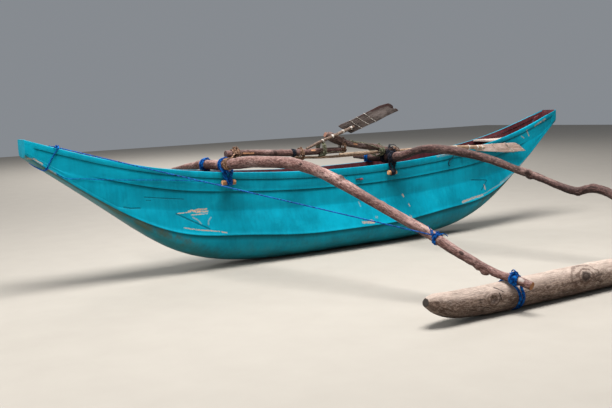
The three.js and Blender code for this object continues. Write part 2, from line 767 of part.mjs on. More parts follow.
// The stay from the bow to the first boom, its lashing there and its loop round the bow
const stayBand = (swell) => {
  const { middle, along, inner, width } = STAY_LASHING;
  return band(middle, along, [inner, inner], width + 2 * swell, LASHING_THICKNESS + swell);
};
add("stay_lashing", geometryOf(cutBy(solidOf(stayBand(0)), allLimbs)), "blueRope");
const bowLoopPath = (() => {
  const top = hullAt(BOW_LOOP_TOP);
  const foot = hullAt(BOW_LOOP_FOOT);
  const half = [
    [BOW_LOOP_TOP, top.top - 6, top.rim + ROPE],
    [BOW_LOOP_TOP - 3, top.top + ROPE, top.rim - 14],
    [(BOW_LOOP_TOP + BOW_LOOP_FOOT) / 2, (top.top + foot.bilge) / 2 + ROPE, (top.rim + foot.chine) / 2],
    [BOW_LOOP_FOOT, foot.bilge + ROPE - 2, foot.chine],
    [BOW_LOOP_FOOT - 6, foot.bilge * 0.7, foot.keel - ROPE + 4],
  ];
  return [...half.map(([x, y, z]) => [x, -y, z]), ...half.reverse()];
})();
const loopCurve = new THREE.CatmullRomCurve3(
  bowLoopPath.map((point) => new THREE.Vector3(...point)),
  true,
  "centripetal",
);
const loopNormal = new THREE.Vector3(1, 0, 0.6).normalize();
const loopRings = Array.from({ length: BOW_LOOP_STEPS }, (_, i) => {
  const t = i / BOW_LOOP_STEPS;
  const tangent = loopCurve.getTangent(t);
  const side = new THREE.Vector3().crossVectors(loopNormal, tangent).normalize();
  const up = new THREE.Vector3().crossVectors(tangent, side);
  return ringAt(loopCurve.getPoint(t), side, up, ROPE, 6);
});
const bowLoop = solidOf(skin(loopRings, true)).subtract(hullSpace);
add("bow_loop", geometryOf(bowLoop), "blueRope");
const stay = cutBy(solidOf(rope([STAY_FROM, STAY_TO], STAY_ROPE)), [solidOf(stayBand(GAP))]);
add("stay", geometryOf(stay), "blueRope");

// A small peg on the windward side, under the rim
const pegY = -(hullAt(PEG.from).outside + PEG.clear + PEG.radius);
const pegRows = [PEG.from, PEG.to].map((x) => [x, pegY, PEG.height, PEG.radius]);
add("side_peg", limb(pegRows, { sides: 10, steps: 1 }), "redPlastic");

boat.updateMatrixWorld(true);
const box = new THREE.Box3().setFromObject(boat);
const middle = box.getCenter(new THREE.Vector3());
boat.position.set(-middle.x, -middle.y, -box.min.z);

export default boat;
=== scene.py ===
# %% [markdown]
# # An outrigger canoe
# The canoe is a narrow moulded hull with a slot along its top. Two bent booms lie across it and
# carry a log float, and poles and paddles are tied on top. This lesson dresses the plain solids of
# the CAD part: each step makes one piece in Blender and gives it a finish built from shader nodes.

# %% Load the CAD part
import json
import math
import random
from contextlib import contextmanager

import bpy
import numpy as np
from mathutils import Matrix, Vector, noise

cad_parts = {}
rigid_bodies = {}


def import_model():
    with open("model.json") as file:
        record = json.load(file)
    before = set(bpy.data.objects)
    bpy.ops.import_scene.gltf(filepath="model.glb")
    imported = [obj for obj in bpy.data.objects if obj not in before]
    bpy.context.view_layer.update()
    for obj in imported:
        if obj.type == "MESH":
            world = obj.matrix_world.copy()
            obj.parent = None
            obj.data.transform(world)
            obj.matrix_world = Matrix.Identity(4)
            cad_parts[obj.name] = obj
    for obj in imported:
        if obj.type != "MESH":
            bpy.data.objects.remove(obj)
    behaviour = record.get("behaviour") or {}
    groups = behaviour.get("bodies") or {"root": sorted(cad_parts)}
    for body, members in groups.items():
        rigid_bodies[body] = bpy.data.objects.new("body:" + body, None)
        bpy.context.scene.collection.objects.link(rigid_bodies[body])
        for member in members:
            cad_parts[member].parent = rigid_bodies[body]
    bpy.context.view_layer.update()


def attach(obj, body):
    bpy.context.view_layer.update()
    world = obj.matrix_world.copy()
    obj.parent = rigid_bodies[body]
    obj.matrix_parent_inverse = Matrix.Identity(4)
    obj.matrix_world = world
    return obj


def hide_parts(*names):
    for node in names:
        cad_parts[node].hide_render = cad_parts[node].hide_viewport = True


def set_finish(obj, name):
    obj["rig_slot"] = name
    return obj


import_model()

# %% [markdown]
# ## Measures
# Every table below is in millimetres, measured from the middle of the hull at floor level: X runs from
# bow to stern, Y to leeward and Z up. The part's own frame has its Y zero further out, midway
# between the booms' ends, so one shift brings a table into place.

# %% Shift and small helpers
HULL_Y = 1333.09


def in_frame(points):
    """Points in millimetres round the hull's middle, as metres in the part's frame."""
    return (np.asarray(points, float) + (0, HULL_Y, 0)) * 0.001


def unit(vector):
    vector = np.asarray(vector, float)
    return vector / np.linalg.norm(vector)


def only(piece):
    """Selects one piece and nothing else."""
    bpy.ops.object.select_all(action="DESELECT")
    piece.select_set(True)
    bpy.context.view_layer.objects.active = piece


def added(name, operator, **settings):
    """A new piece made by one of Blender's primitives, alone in the selection."""
    bpy.ops.object.select_all(action="DESELECT")
    operator(**settings)
    piece = bpy.context.object
    piece.name = piece.data.name = name
    return piece


def tell(piece):
    print(piece.name, len(piece.data.polygons), "faces")


def stands_for(piece, nodes, slot):
    """The piece belongs to the canoe, hides these CAD nodes and takes a material slot of the record."""
    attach(piece, "root")
    if nodes:
        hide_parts(*nodes)
    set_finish(piece, slot)
    return piece


# %% [markdown]
# ## A grid that is laid over a shape
# A hull, a log and a rope are all skins that follow a line. Blender's grid is a flat sheet with a
# neat UV map, and each of its corners can be moved to a place worked out from its own share along
# and across. That gives even quads and full control, where lofting by hand would need one edge
# loop after another.

# %% Grid helpers
def laid_grid(name, points, attributes=None):
    """A grid of len(points) rings, each a row of places in millimetres, with values kept per point."""
    points = np.asarray(points, float)
    rings, across = points.shape[:2]
    grid = dict(x_subdivisions=rings - 1, y_subdivisions=across - 1, size=2)
    piece = added(name, bpy.ops.mesh.primitive_grid_add, **grid)
    flat = np.zeros(rings * across * 3)
    piece.data.vertices.foreach_get("co", flat)
    shares = (flat.reshape(-1, 3)[:, :2] + 1) / 2
    ring = np.rint(shares[:, 0] * (rings - 1)).astype(int)
    place = np.rint(shares[:, 1] * (across - 1)).astype(int)
    piece.data.vertices.foreach_set("co", in_frame(points[ring, place]).ravel())
    for key, values in (attributes or {}).items():
        values = np.asarray(values, float)[ring, place]
        kind = "FLOAT_VECTOR" if values.ndim == 2 else "FLOAT"
        layer = piece.data.attributes.new(key, kind, "POINT")
        layer.data.foreach_set("vector" if values.ndim == 2 else "value", values.ravel())
    piece.data.update()
    return piece


@contextmanager
def editing():
    """Edit mode on the active piece with everything selected, and back when the block ends."""
    bpy.ops.object.mode_set(mode="EDIT")
    bpy.ops.mesh.select_all(action="SELECT")
    yield
    bpy.ops.object.mode_set(mode="OBJECT")


def close_up(piece, merge=2e-5):
    """Merges the corners that meet at seams and poles, and turns every face outwards."""
    only(piece)
    with editing():
        bpy.ops.mesh.remove_doubles(threshold=merge)
        bpy.ops.mesh.normals_make_consistent(inside=False)
    return piece


def modified(piece, name, kind, **settings):
    """Adds a modifier to a piece, sets it and applies it."""
    modifier = piece.modifiers.new(name, kind)
    for key, value in settings.items():
        setattr(modifier, key, value)
    only(piece)
    bpy.ops.object.modifier_apply(modifier=name)


def above_floor(piece):
    """Presses whatever dips under the floor flat on it."""
    for vertex in piece.data.vertices:
        vertex.co.z = max(vertex.co.z, 0.0)


def smooth(piece, degrees=180):
    only(piece)
    bpy.ops.object.shade_smooth_by_angle(angle=math.radians(degrees))
    return piece


def joined(name, pieces):
    """Several pieces made one."""
    bpy.ops.object.select_all(action="DESELECT")
    for piece in pieces:
        piece.select_set(True)
    bpy.context.view_layer.objects.active = pieces[0]
    if len(pieces) > 1:
        bpy.ops.object.join()
    pieces[0].name = pieces[0].data.name = name
    return pieces[0]


def curve_through(knots, values):
    """A smooth function through the values at the knots, with no bend at its two ends."""
    x, y = np.asarray(knots, float), np.asarray(values, float)
    n, h = len(x), np.diff(x)
    system, right = np.eye(n), np.zeros_like(y)
    for i in range(1, n - 1):
        system[i, i - 1 : i + 2] = h[i - 1], 2 * (h[i - 1] + h[i]), h[i]
        right[i] = 6 * ((y[i + 1] - y[i]) / h[i] - (y[i] - y[i - 1]) / h[i - 1])
    bend = np.linalg.solve(system, right)

    def at(place):
        place = np.asarray(place, float)
        i = np.clip(np.searchsorted(x, place) - 1, 0, n - 2)
        if y.ndim > 1:
            share = ((place - x[i]) / h[i])[:, None]
            span = h[i][:, None]
        else:
            share, span = (place - x[i]) / h[i], h[i]
        back = 1 - share
        pull = (back**3 - back) * bend[i] + (share**3 - share) * bend[i + 1]
        return back * y[i] + share * y[i + 1] + span**2 / 6 * pull

    return at


# %% [markdown]
# ## Rods: booms, poles, logs and ropes
# A branch or a rope is a tube round a bent line. Each ring is carried along the line without
# twisting. The tube also keeps, for every point, where it would lie if the rod were straight. A
# material that reads this attribute can run its grain along the rod, round every bend, with no seam.

# %% Rod helper
def along_line(line):
    """Distances along a line of points, and its direction at each of them."""
    reach = np.concatenate([[0], np.cumsum(np.linalg.norm(np.diff(line, axis=0), axis=1))])
    ahead = np.gradient(line, axis=0)
    return reach, ahead / np.linalg.norm(ahead, axis=1)[:, None]


def resampled(line, step):
    """A smooth line through the points (and any columns after x, y, z), with points step apart."""
    line = np.asarray(line, float)
    reach = along_line(line[:, :3])[0]
    count = max(2, int(round(reach[-1] / step)) + 1)
    if len(line) == 2:
        return line[0] + (line[1] - line[0]) * np.linspace(0, 1, count)[:, None]
    return curve_through(reach, line)(np.linspace(0, reach[-1], count))


END_BEVEL = 0.07  # how far the rim of a rod's end is drawn back, as a share of its radius


def rod(name, line, radius, sides, section=None, surface=None, end=((0, 0), (0.5, 0), (0.93, 0))):
    """A closed tube round a line in millimetres.

    section(angle, reach) scales its radius, and surface(skin, reach, angle) lifts its skin."""
    line = np.asarray(line, float)
    radius = np.broadcast_to(np.asarray(radius, float), len(line))
    reach, ahead = along_line(line)
    side = np.cross(ahead[0], (0, 0, 1)) if abs(ahead[0][2]) < 0.9 else np.cross(ahead[0], (0, 1, 0))
    sides_of = []
    for direction in ahead:
        side = unit(side - direction * (direction @ side))
        sides_of.append(side)
    sides_of = np.array(sides_of)
    up = np.cross(sides_of, ahead)
    angle = np.linspace(0, 2 * np.pi, sides + 1)
    angle[-1] = 0
    shape = np.ones((len(line), sides + 1)) if section is None else section(angle[None, :], reach[:, None])
    spread = radius[:, None] * shape
    out = sides_of[:, None] * np.cos(angle)[None, :, None] + up[:, None] * np.sin(angle)[None, :, None]
    skin = line[:, None] + out * spread[..., None]
    if surface is not None:
        lift = surface(skin, reach, angle)
        spread = spread + lift
        skin = line[:, None] + out * spread[..., None]
    straight = np.stack([np.broadcast_to(reach[:, None], spread.shape), spread * np.cos(angle),
        spread * np.sin(angle)], -1)
    cut = np.zeros_like(spread)
    rings, straights, cuts = [skin], [straight], [cut]
    for first in (True, False):
        k = 0 if first else -1
        middle, flat = line[k], straight[k].copy()
        caps, cap_straight = [], []
        for share, sink in end if first else end[::-1]:
            inwards = ahead[k] * (radius[k] * sink) * (1 if first else -1)
            caps.append(middle + (skin[k] - middle) * share - inwards)
            cap_straight.append(flat * (1, share, share))
        ones = np.ones((len(end), sides + 1))
        if first:
            rings.insert(0, np.array(caps)), straights.insert(0, np.array(cap_straight)), cuts.insert(0,
                ones)
        else:
            rings.append(np.array(caps)), straights.append(np.array(cap_straight)), cuts.append(ones)
    bevel = END_BEVEL * radius[0] * ahead[0], END_BEVEL * radius[-1] * ahead[-1]
    skin[0] += bevel[0]
    skin[-1] -= bevel[1]
    values = {"straight": np.concatenate(straights) * 0.001, "cut": np.concatenate(cuts)}
    return close_up(laid_grid(name, np.concatenate(rings), values))


# %% [markdown]
# ## Finishes
# Every finish is a Principled material fed by a few shader node groups. A group is built once: it
# holds an effect that several finishes need, such as cloudy fading, wood grain or a scratch, and
# each material places it with its own values.

# %% Node helpers
def srgb(red, green, blue):
    """A colour read off as 0 to 255, as the linear values that nodes work in."""
    return (*(((c / 255 + 0.055) / 1.055) ** 2.4 if c > 10 else c / 255 / 12.92 for c in (red, green,
        blue)), 1)


def put(tree, kind, inputs=None, **settings):
    """Adds a node. Its inputs are set to values, or joined to other nodes' outputs."""
    made = tree.nodes.new("ShaderNode" + kind)
    for key, value in settings.items():
        setattr(made, key, value)
    for key, value in (inputs or {}).items():
        if isinstance(value, bpy.types.NodeSocket):
            tree.links.new(value, made.inputs[key])
        else:
            made.inputs[key].default_value = value
    return made


def reckon(tree, operation, *values, clamp=False):
    return put(tree, "Math", dict(enumerate(values)), operation=operation, use_clamp=clamp).outputs[0]


def times(tree, one, other, **settings):
    return reckon(tree, "MULTIPLY", one, other, **settings)


def vectors(tree, operation, *values):
    """Vector maths. Output 0 is a vector and output 1 a number."""
    return put(tree, "VectorMath", dict(enumerate(values)), operation=operation).outputs


def mixed(tree, factor, one, other):
    return put(tree, "Mix", {0: factor, 6: one, 7: other}, data_type="RGBA").outputs[2]


def stained(tree, colour, mask, amount, shade):
    """Lays a shade over a colour, by a share of a mask."""
    return mixed(tree, times(tree, mask, amount), colour, srgb(*shade))


def ramped(tree, value, low, high):
    """0 below low, 1 above high and a soft step between."""
    inputs = {"Value": value, "From Min": low, "From Max": high}
    return put(tree, "MapRange", inputs, interpolation_type="SMOOTHSTEP").outputs["Result"]


def cloudy(tree, vector, scale, detail=4, roughness=0.55):
    inputs = {"Vector": vector, "Scale": scale, "Detail": detail, "Roughness": roughness}
    return put(tree, "TexNoise", inputs).outputs["Fac"]


def stretched(tree, vector, scale):
    return put(tree, "Mapping", {"Vector": vector, "Scale": scale}).outputs[0]


def new_group(name, takes, gives):
    """An empty shader node group with its input and output sockets."""
    tree = bpy.data.node_groups.new(name, "ShaderNodeTree")
    for key, (kind, value) in takes.items():
        socket = tree.interface.new_socket(key, in_out="INPUT", socket_type="NodeSocket" + kind)
        if value is not None:
            socket.default_value = value
    for key, kind in gives.items():
        tree.interface.new_socket(key, in_out="OUTPUT", socket_type="NodeSocket" + kind)
    return tree, tree.nodes.new("NodeGroupInput").outputs, tree.nodes.new("NodeGroupOutput")


def use(tree, group, **inputs):
    """Places a node group in a tree and sets its inputs."""
    made = tree.nodes.new("ShaderNodeGroup")
    made.node_tree = group
    for key, value in inputs.items():
        key = key.replace("_", " ")
        if isinstance(value, bpy.types.NodeSocket):
            tree.links.new(value, made.inputs[key])
        else:
            made.inputs[key].default_value = value
    return made.outputs


def new_finish(name, **constants):
    """A material, new or already on a piece, whose Principled shader takes these plain numbers."""
    material = bpy.data.materials.get(name) or bpy.data.materials.new(name)
    material.use_nodes = True
    shader = material.node_tree.nodes["Principled BSDF"]
    for key, value in constants.items():
        shader.inputs[key.replace("_", " ")].default_value = value
    return material, material.node_tree, shader


def painted(tree, shader, colour, rough, height, strength, distance):
    """Joins a finish's colour, roughness and bump to its shader."""
    tree.links.new(colour, shader.inputs["Base Color"])
    tree.links.new(rough, shader.inputs["Roughness"])
    bump = put(tree, "Bump", {"Height": height, "Strength": strength, "Distance": distance})
    tree.links.new(bump.outputs[0], shader.inputs["Normal"])


def object_place(tree):
    return put(tree, "TexCoord").outputs["Object"]


def kept(tree, name, output="Fac"):
    """A value that the mesh keeps for each point."""
    return put(tree, "Attribute", attribute_name=name).outputs[output]


# %% [markdown]
# ### The scratch group
# A scratch or scuff is a short line on the hull with a ragged edge. The group measures how far a
# point lies from the line between two ends, and gives 1 on the line and 0 away from it, or the mask
# of the marks before it where that is more. A texture could only scatter marks at random, while this
# puts each one where the boat really has it.

# %% Scratch group
SCRATCH, given, told = new_group(
    "scratch",
    {"Over": ("Float", 0), "Place": ("Vector", None), "From": ("Vector", None), "To": ("Vector", None),
        "Width": ("Float", 0.01), "Rag": ("Float", 0)},
    {"Mask": "Float"},
)
def build_scratch(tree):
    reach = vectors(tree, "SUBTRACT", given["To"], given["From"])[0]
    away = vectors(tree, "SUBTRACT", given["Place"], given["From"])[0]
    share = reckon(tree, "DIVIDE", vectors(tree, "DOT_PRODUCT", away, reach)[1],
        vectors(tree, "DOT_PRODUCT", reach, reach)[1], clamp=True)
    nearest = put(tree, "VectorMath", {0: reach, "Scale": share}, operation="SCALE").outputs[0]
    distance = vectors(tree, "LENGTH", vectors(tree, "SUBTRACT", away, nearest)[0])[1]
    ragged = reckon(tree, "MULTIPLY_ADD", given["Rag"], given["Width"], distance)
    inputs = {"Value": ragged, "From Min": given["Width"], "From Max": times(tree, given["Width"], 0.45),
        "To Min": 0, "To Max": 1}
    mask = put(tree, "MapRange", inputs, interpolation_type="SMOOTHSTEP").outputs["Result"]
    tree.links.new(reckon(tree, "MAXIMUM", mask, given["Over"]), told.inputs["Mask"])


build_scratch(SCRATCH)

# %% [markdown]
# ### The grain group
# Wood shows long streaks, fine fibres and dark cracks along the rod. The group stretches noise along
# the straightened rod, so the grain follows each bend. It gives a streak value, a mask of cracks and
# a height for the bump.

# %% Grain group
GRAIN, given, told = new_group(
    "wood grain",
    {"Place": ("Vector", None), "Fineness": ("Float", 60), "Length": ("Float", 0.06),
        "Cracks": ("Float", 0.5)},
    {"Streak": "Float", "Crack": "Float", "Height": "Float"},
)
def build_grain(tree):
    spread = put(tree, "CombineXYZ", {"X": given["Length"], "Y": 1, "Z": 1}).outputs[0]
    along = vectors(tree, "MULTIPLY", given["Place"], spread)[0]
    broad = cloudy(tree, along, given["Fineness"], detail=3)
    fine = cloudy(tree, along, times(tree, given["Fineness"], 4.3), detail=4, roughness=0.7)
    streak = reckon(tree, "ADD", times(tree, broad, 0.6), times(tree, fine, 0.4))
    veins = cloudy(tree, along, times(tree, given["Fineness"], 1.7), detail=2)
    line = reckon(tree, "ABSOLUTE", reckon(tree, "SUBTRACT", veins, 0.5))
    where = ramped(tree, cloudy(tree, given["Place"], 7, detail=2), 0.42, 0.6)
    thin = times(tree, given["Cracks"], 0.035)
    soft = reckon(tree, "SUBTRACT", 1, put(tree, "MapRange",
        {"Value": line, "From Min": 0, "From Max": reckon(tree, "ADD", thin, 0.004)}).outputs[0])
    crack = times(tree, soft, where)
    height = reckon(tree, "SUBTRACT", streak, times(tree, crack, 0.6))
    for value, key in ((streak, "Streak"), (crack, "Crack"), (height, "Height")):
        tree.links.new(value, told.inputs[key])


build_grain(GRAIN)

# %% [markdown]
# ### The knot group
# Round a knot the grain runs in wavy rings, and its core is dark. The group measures how far a point
# lies from the knot's centre, in sizes of the knot, and turns that into rings that fade outwards.

# %% Knot group
KNOT, given, told = new_group(
    "knot rings",
    {"Place": ("Vector", None), "Centre": ("Vector", None), "Size": ("Float", 0.05)},
    {"Rings": "Float", "Core": "Float"},
)
def build_knot(tree):
    away = vectors(tree, "SUBTRACT", given["Place"], given["Centre"])[0]
    near = vectors(tree, "MULTIPLY", away, (0.75, 1, 1))[0]
    length = vectors(tree, "LENGTH", near)[1]
    reach = reckon(tree, "DIVIDE", length, given["Size"])
    reach = reckon(tree, "ADD", reach, times(tree, cloudy(tree, given["Place"], 14, detail=3), 0.5))
    wave = reckon(tree, "MULTIPLY_ADD", reckon(tree, "SINE", times(tree, reach, 24)), 0.5, 0.5)
    fade = ramped(tree, reach, 1.25, 0.7)
    tree.links.new(times(tree, ramped(tree, wave, 0.45, 0.9), fade), told.inputs["Rings"])
    tree.links.new(ramped(tree, reach, 0.52, 0.4), told.inputs["Core"])


build_knot(KNOT)

# %% [markdown]
# ### The sunned group
# Salt and sun fade every surface in soft clouds and run down it in faint streaks. The group adds
# both and gives one value round 0.5, which each finish uses to lighten and darken its colour.

# %% Sunned group
SUNNED, given, told = new_group(
    "sun and salt",
    {"Place": ("Vector", None), "Cloud": ("Float", 3), "Runs": ("Float", 0.4)},
    {"Value": "Float"},
)
def build_sunned(tree):
    clouds = cloudy(tree, given["Place"], given["Cloud"], detail=6)
    runs = cloudy(tree, stretched(tree, given["Place"], (34, 34, 2.4)), 1, detail=4, roughness=0.5)
    value = put(tree, "Mix", {0: given["Runs"], 2: clouds, 3: runs}).outputs[0]
    tree.links.new(value, told.inputs["Value"])


build_sunned(SUNNED)
print(len(bpy.data.node_groups), "node groups")

# %% [markdown]
# ## The hull's long lines
# A boat's shape is drawn with a few long lines from end to end: the rim, the foot of the rim, the
# strake where the upper planking laps over, the knuckle, the chine and the keel. Their heights at a
# few places are all that is needed, because smooth curves join them. Both ends are alike.

# %% Hull lines
HALF_LENGTH, SHELL_END = 3500, 3320
RIM_WIDTH, RIM_PROUD, WALL, STRAKE_STEP, LEDGE = 22, 9, 8, 7, 16
KNUCKLE_LEAST = 34  # the knuckle stays this far above the chine where the two lines meet
# stretches along the hull over which the strake's step, the knuckle and the proud rim die out
STRAKE_FADE, KNUCKLE_FADE, RIM_FADE, LEDGE_FADE = (2700, 2900), (2350, 2750), (3390, 3430), (2700, 3450)
# share of the half length, then heights of rim, rim's foot, strake, knuckle, chine and keel
HULL_LINES = np.array([
    [0.0, 927, 847, 731, 541, 261, 0],
    [0.2, 941, 866, 744, 553, 272, 0],
    [0.4, 985, 914, 787, 590, 338, 40],
    [0.6, 1064, 1006, 862, 657, 436, 250],
    [0.8, 1219, 1163, 1028, 778, 792, 750],
    [1.0, 1438, 1383, 1235, 933, 1304, 1267],
])
both_ways = np.concatenate([-HULL_LINES[:0:-1, :1], HULL_LINES[:, :1]]).ravel()
line_heights = curve_through(both_ways, np.concatenate([HULL_LINES[:0:-1, 1:], HULL_LINES[:, 1:]]))


def fading(x, stretch):
    """1 up to the start of a stretch along the hull and 0 past its end."""
    return 1 - np.clip((np.abs(x) - stretch[0]) / (stretch[1] - stretch[0]), 0, 1)


def hull_at(x):
    """Heights of the long lines and half breadths of rim and chine, at places along the hull."""
    x = np.atleast_1d(np.asarray(x, float))
    share = np.minimum(np.abs(x) / HALF_LENGTH, 1)
    rim, foot, strake, knuckle, chine, keel = line_heights(share).T
    keel = np.maximum(keel, 0)
    strake = np.maximum(strake, chine + 0.35 * (foot - chine))
    knuckle = np.maximum(knuckle, chine + np.minimum(KNUCKLE_LEAST, 0.5 * (strake - chine)))
    top = 121 + 154 * (1 - share**2.4)
    bilge = 117 + 267 * (1 - share**1.9) ** 1.15
    proud = RIM_PROUD * fading(x, RIM_FADE)
    straight = top - proud + (bilge - top + proud) * (strake - knuckle) / (strake - chine)
    bent = fading(x, KNUCKLE_FADE)
    flank = bent * (top - 14 + 0.1 * (bilge - top)) + (1 - bent) * straight
    step = fading(x, STRAKE_FADE)
    ledge = LEDGE * (0.2 + 0.8 * fading(x, LEDGE_FADE))
    return dict(
        rim=rim, foot=foot, strake=strake, knuckle=knuckle, chine=chine, keel=keel,
        top=top, bilge=bilge, flank=flank, proud=proud, bent=bent, step=step, ledge=ledge,
    )


def hull_value(x, key):
    """One of the hull's values at one place, as a plain number."""
    return float(hull_at(x)[key][0])


print("amidships:", round(2 * hull_value(0, "bilge")), "mm wide, rim", round(hull_value(0, "rim")),
    "mm high")

# %% [markdown]
# ## The hull's shell
# The real shell is laid up from glass fibre in a mould, so it has crisp ledges at the strake and the
# chine and soft panels between them. One skin is laid from rim to keel to rim, and the Solidify
# modifier gives it the thickness of the laminate. Its second material paints the inside maroon.

# %% Section of the shell
def run_to(points, goal, steps=1, crown=0, groove_shade=0):
    """Adds points up to a corner, bulging by crown on the way. The groove value sets the painted shade at
    the corner.
    """
    y, z, _ = points[-1]
    for i in range(1, steps + 1):
        s = i / steps
        points.append((y + (goal[0] - y) * s + crown * math.sin(math.pi * s), z + (goal[1] - z) * s,
            groove_shade if i == steps else 0))


ARC_STEPS = 16


def half_section(x):
    """Half breadth, height and painted shade at the corners of one side, from behind the rim to the keel,
    for stations x.
    """
    h = hull_at(x)
    out, lip, step, bent = h["top"] - h["proud"], h["strake"], h["step"], h["bent"]
    gap, rise = h["knuckle"] - h["chine"], h["strake"] - h["knuckle"]
    under, over = np.minimum(12, 0.3 * rise), np.minimum(14, 0.3 * rise)
    points = [(out, h["foot"] + 22, np.zeros_like(out))]
    run_to(points, (out, h["foot"]), groove_shade=h["proud"] / RIM_PROUD)
    run_to(points, (out + 0.5, h["foot"] - 9), groove_shade=0.35 * h["proud"] / RIM_PROUD)
    run_to(points, (out + 2 * step, lip + 12), 6, crown=2.5 * step)
    run_to(points, (out + 4 * step, lip + 4))
    run_to(points, (out + 3.4 * step, lip))
    run_to(points, (out - STRAKE_STEP * step, lip - 0.25 * under), groove_shade=step)
    run_to(points, (out - STRAKE_STEP * step, lip - under), groove_shade=0.4 * step)
    run_to(points, (h["flank"] - 1.5 * bent, h["knuckle"] + over), 7, crown=2)
    run_to(points, (h["flank"], h["knuckle"]), groove_shade=0.1 * bent)
    run_to(points, (h["flank"] + 3.5 * bent, h["knuckle"] - np.minimum(12, 0.3 * gap)))
    run_to(points, (h["bilge"] - 10 * bent, h["chine"] + np.minimum(22, 0.5 * gap)), 8, crown=2.5 * bent)
    run_to(points, (h["bilge"] - 1, h["chine"] + np.minimum(7, 0.2 * gap)), 2)
    run_to(points, (h["bilge"], h["chine"] + 2))
    run_to(points, (h["bilge"] - 2, h["chine"] - 3), groove_shade=0.6)
    run_to(points, (h["bilge"] - h["ledge"], h["chine"] - 5), groove_shade=1)
    breadth, fall = h["bilge"] - h["ledge"], h["chine"] - 6 - h["keel"]
    for i in range(1, ARC_STEPS + 1):
        turn = 0.5 * math.pi * i / ARC_STEPS
        points.append((breadth * math.cos(turn), h["keel"] + fall * (1 - math.sin(turn)),
            max(0.0, 1 - i / 2)))
    return np.array([np.broadcast_arrays(*p) for p in points], float)


def side_to_side(half):
    """Both sides of the section as one run of points from rim to keel to rim."""
    return np.concatenate([half * [[-1], [1], [1]], half[-2::-1]])


def weathered(x, rows):
    """Values kept by the skin: groove (painted shade at the corners), wear of the stems below the chine,
    and darkening low on the hull.
    """
    h = hull_at(x)
    z = rows[:, 1]
    arc = np.clip((h["chine"] - 6 - z) / (h["chine"] - 6 - h["keel"]), 0, 1)
    ends = np.clip((np.abs(x) - 1500) / 800, 0, 1)
    under = z < h["chine"] + 1
    wear = ends * under * np.exp(-(((arc - 0.24) / 0.42) ** 2))
    low = np.clip(under * (0.25 + 0.9 * arc * ends + 0.5 * arc) + 0.25 * np.clip(1 - z / 330, 0, 1), 0, 1)
    return {"groove_shade": rows[:, 2].T, "wear": wear.T, "low": low.T}


stations = np.linspace(-SHELL_END, SHELL_END, 181)
half = half_section(stations)
print(len(half), "points from rim to keel at", len(stations), "stations")

# %% Lay the shell
def waviness(x, y, z, size=1.6):
    """Small swells left by a hand-made mould, in millimetres."""
    return [size * noise.noise(Vector((a * 0.0022, b * 0.004, c * 0.0045))) for a, b, c in zip(x, y, z)]


rows = side_to_side(half)
x, y, z = np.broadcast_arrays(stations, rows[:, 0], rows[:, 1])
swell = np.reshape(waviness(x.ravel(), y.ravel(), z.ravel()), x.shape)
swell = swell * np.clip((z - 60) / 200, 0, 1) * np.minimum(1, 6 * np.abs(y) / 300)
swell = swell * np.clip((SHELL_END - np.abs(x)) / 120, 0, 1)
skin = np.stack([x, y + np.sign(y) * swell, z], -1).transpose(1, 0, 2)
shell = laid_grid("hull_shell", skin, weathered(stations, rows))
only(shell)
with editing():
    bpy.ops.mesh.normals_make_consistent(inside=False)
lowest = min(shell.data.polygons, key=lambda face: face.center.z)
if lowest.normal.z > 0:
    shell.data.flip_normals()
print("the keel's faces point", "down" if min(shell.data.polygons,
    key=lambda f: f.center.z).normal.z < 0 else "up")

# %% Give the shell its thickness
for title in ("turquoise gelcoat", "maroon inside"):
    shell.data.materials.append(bpy.data.materials.new(title))
modified(shell, "laminate", "SOLIDIFY", thickness=WALL * 0.001, offset=-1, material_offset=1)
smooth(shell, 32)
sections = ["bow", "middle", "stern"]
covered = [f"hull_belly_{s}" for s in sections] + [f"hull_side_{hand}_{s}" for hand in ("windward",
    "leeward") for s in sections]
stands_for(shell, covered, "hull_paint")
print("shell:", len(shell.data.polygons), "faces")

# %% [markdown]
# ## The rims
# A rounded wooden rail, laid over with fibre, stiffens each edge of the slot. Its section is a tall
# strip with soft corners, so that its top edge catches the light, and its inner face is maroon.

# %% Rims
def two_coloured(piece):
    for title in ("turquoise gelcoat", "maroon inside"):
        piece.data.materials.append(bpy.data.materials[title])


def rim_grid(name, hand):
    h = hull_at(stations)
    loops = []
    for i in range(len(stations)):
        out, inn, top, foot = h["top"][i], h["top"][i] - RIM_WIDTH, h["rim"][i], h["foot"][i]
        ring = [(inn, top - 40), (inn, top - 12)]
        ring += [(inn + 5 - 5 * math.cos(a),
            top - 5 + 5 * math.sin(a)) for a in np.radians((0, 30, 60, 90))]
        ring += [(out - 8 + 8 * math.sin(a),
            top - 8 + 8 * math.cos(a)) for a in np.radians((0, 30, 60, 90))]
        ring += [(out + 1.2, top - 0.45 * (top - foot)), (out + 0.4, foot + 6), (out - 1.5, foot + 1),
            (out - 6, foot)]
        ring += [(inn + 3, foot), (inn, foot + 3)]
        ring.append(ring[0])
        loops.append([(stations[i], hand * yy, zz) for yy, zz in ring])
    points = np.array(loops)
    bump = np.reshape(waviness(points[..., 0].ravel(), points[..., 1].ravel(), points[..., 2].ravel(), 1.2),
        points.shape[:2])
    points[..., 2] += bump * (points[..., 2] > h["foot"][:, None] + 20)
    middle = points.mean(axis=1, keepdims=True)
    caps = [middle[:1] + (points[:1] - middle[:1]) * s for s in (0, 0.8)]
    ends = [middle[-1:] + (points[-1:] - middle[-1:]) * s for s in (0.8, 0)]
    rail = close_up(laid_grid(name, np.concatenate([*caps, points, *ends])))
    two_coloured(rail)
    for face in rail.data.polygons:
        face.material_index = int(face.normal.y * hand < -0.75)
    smooth(rail, 40)
    return stands_for(rail, [f"{name.replace('rail', 'rim')}_{s}" for s in sections], "hull_paint")


for hand, side in ((-1, "windward"), (1, "leeward")):
    rail = rim_grid(f"rail_{side}", hand)
    tell(rail)

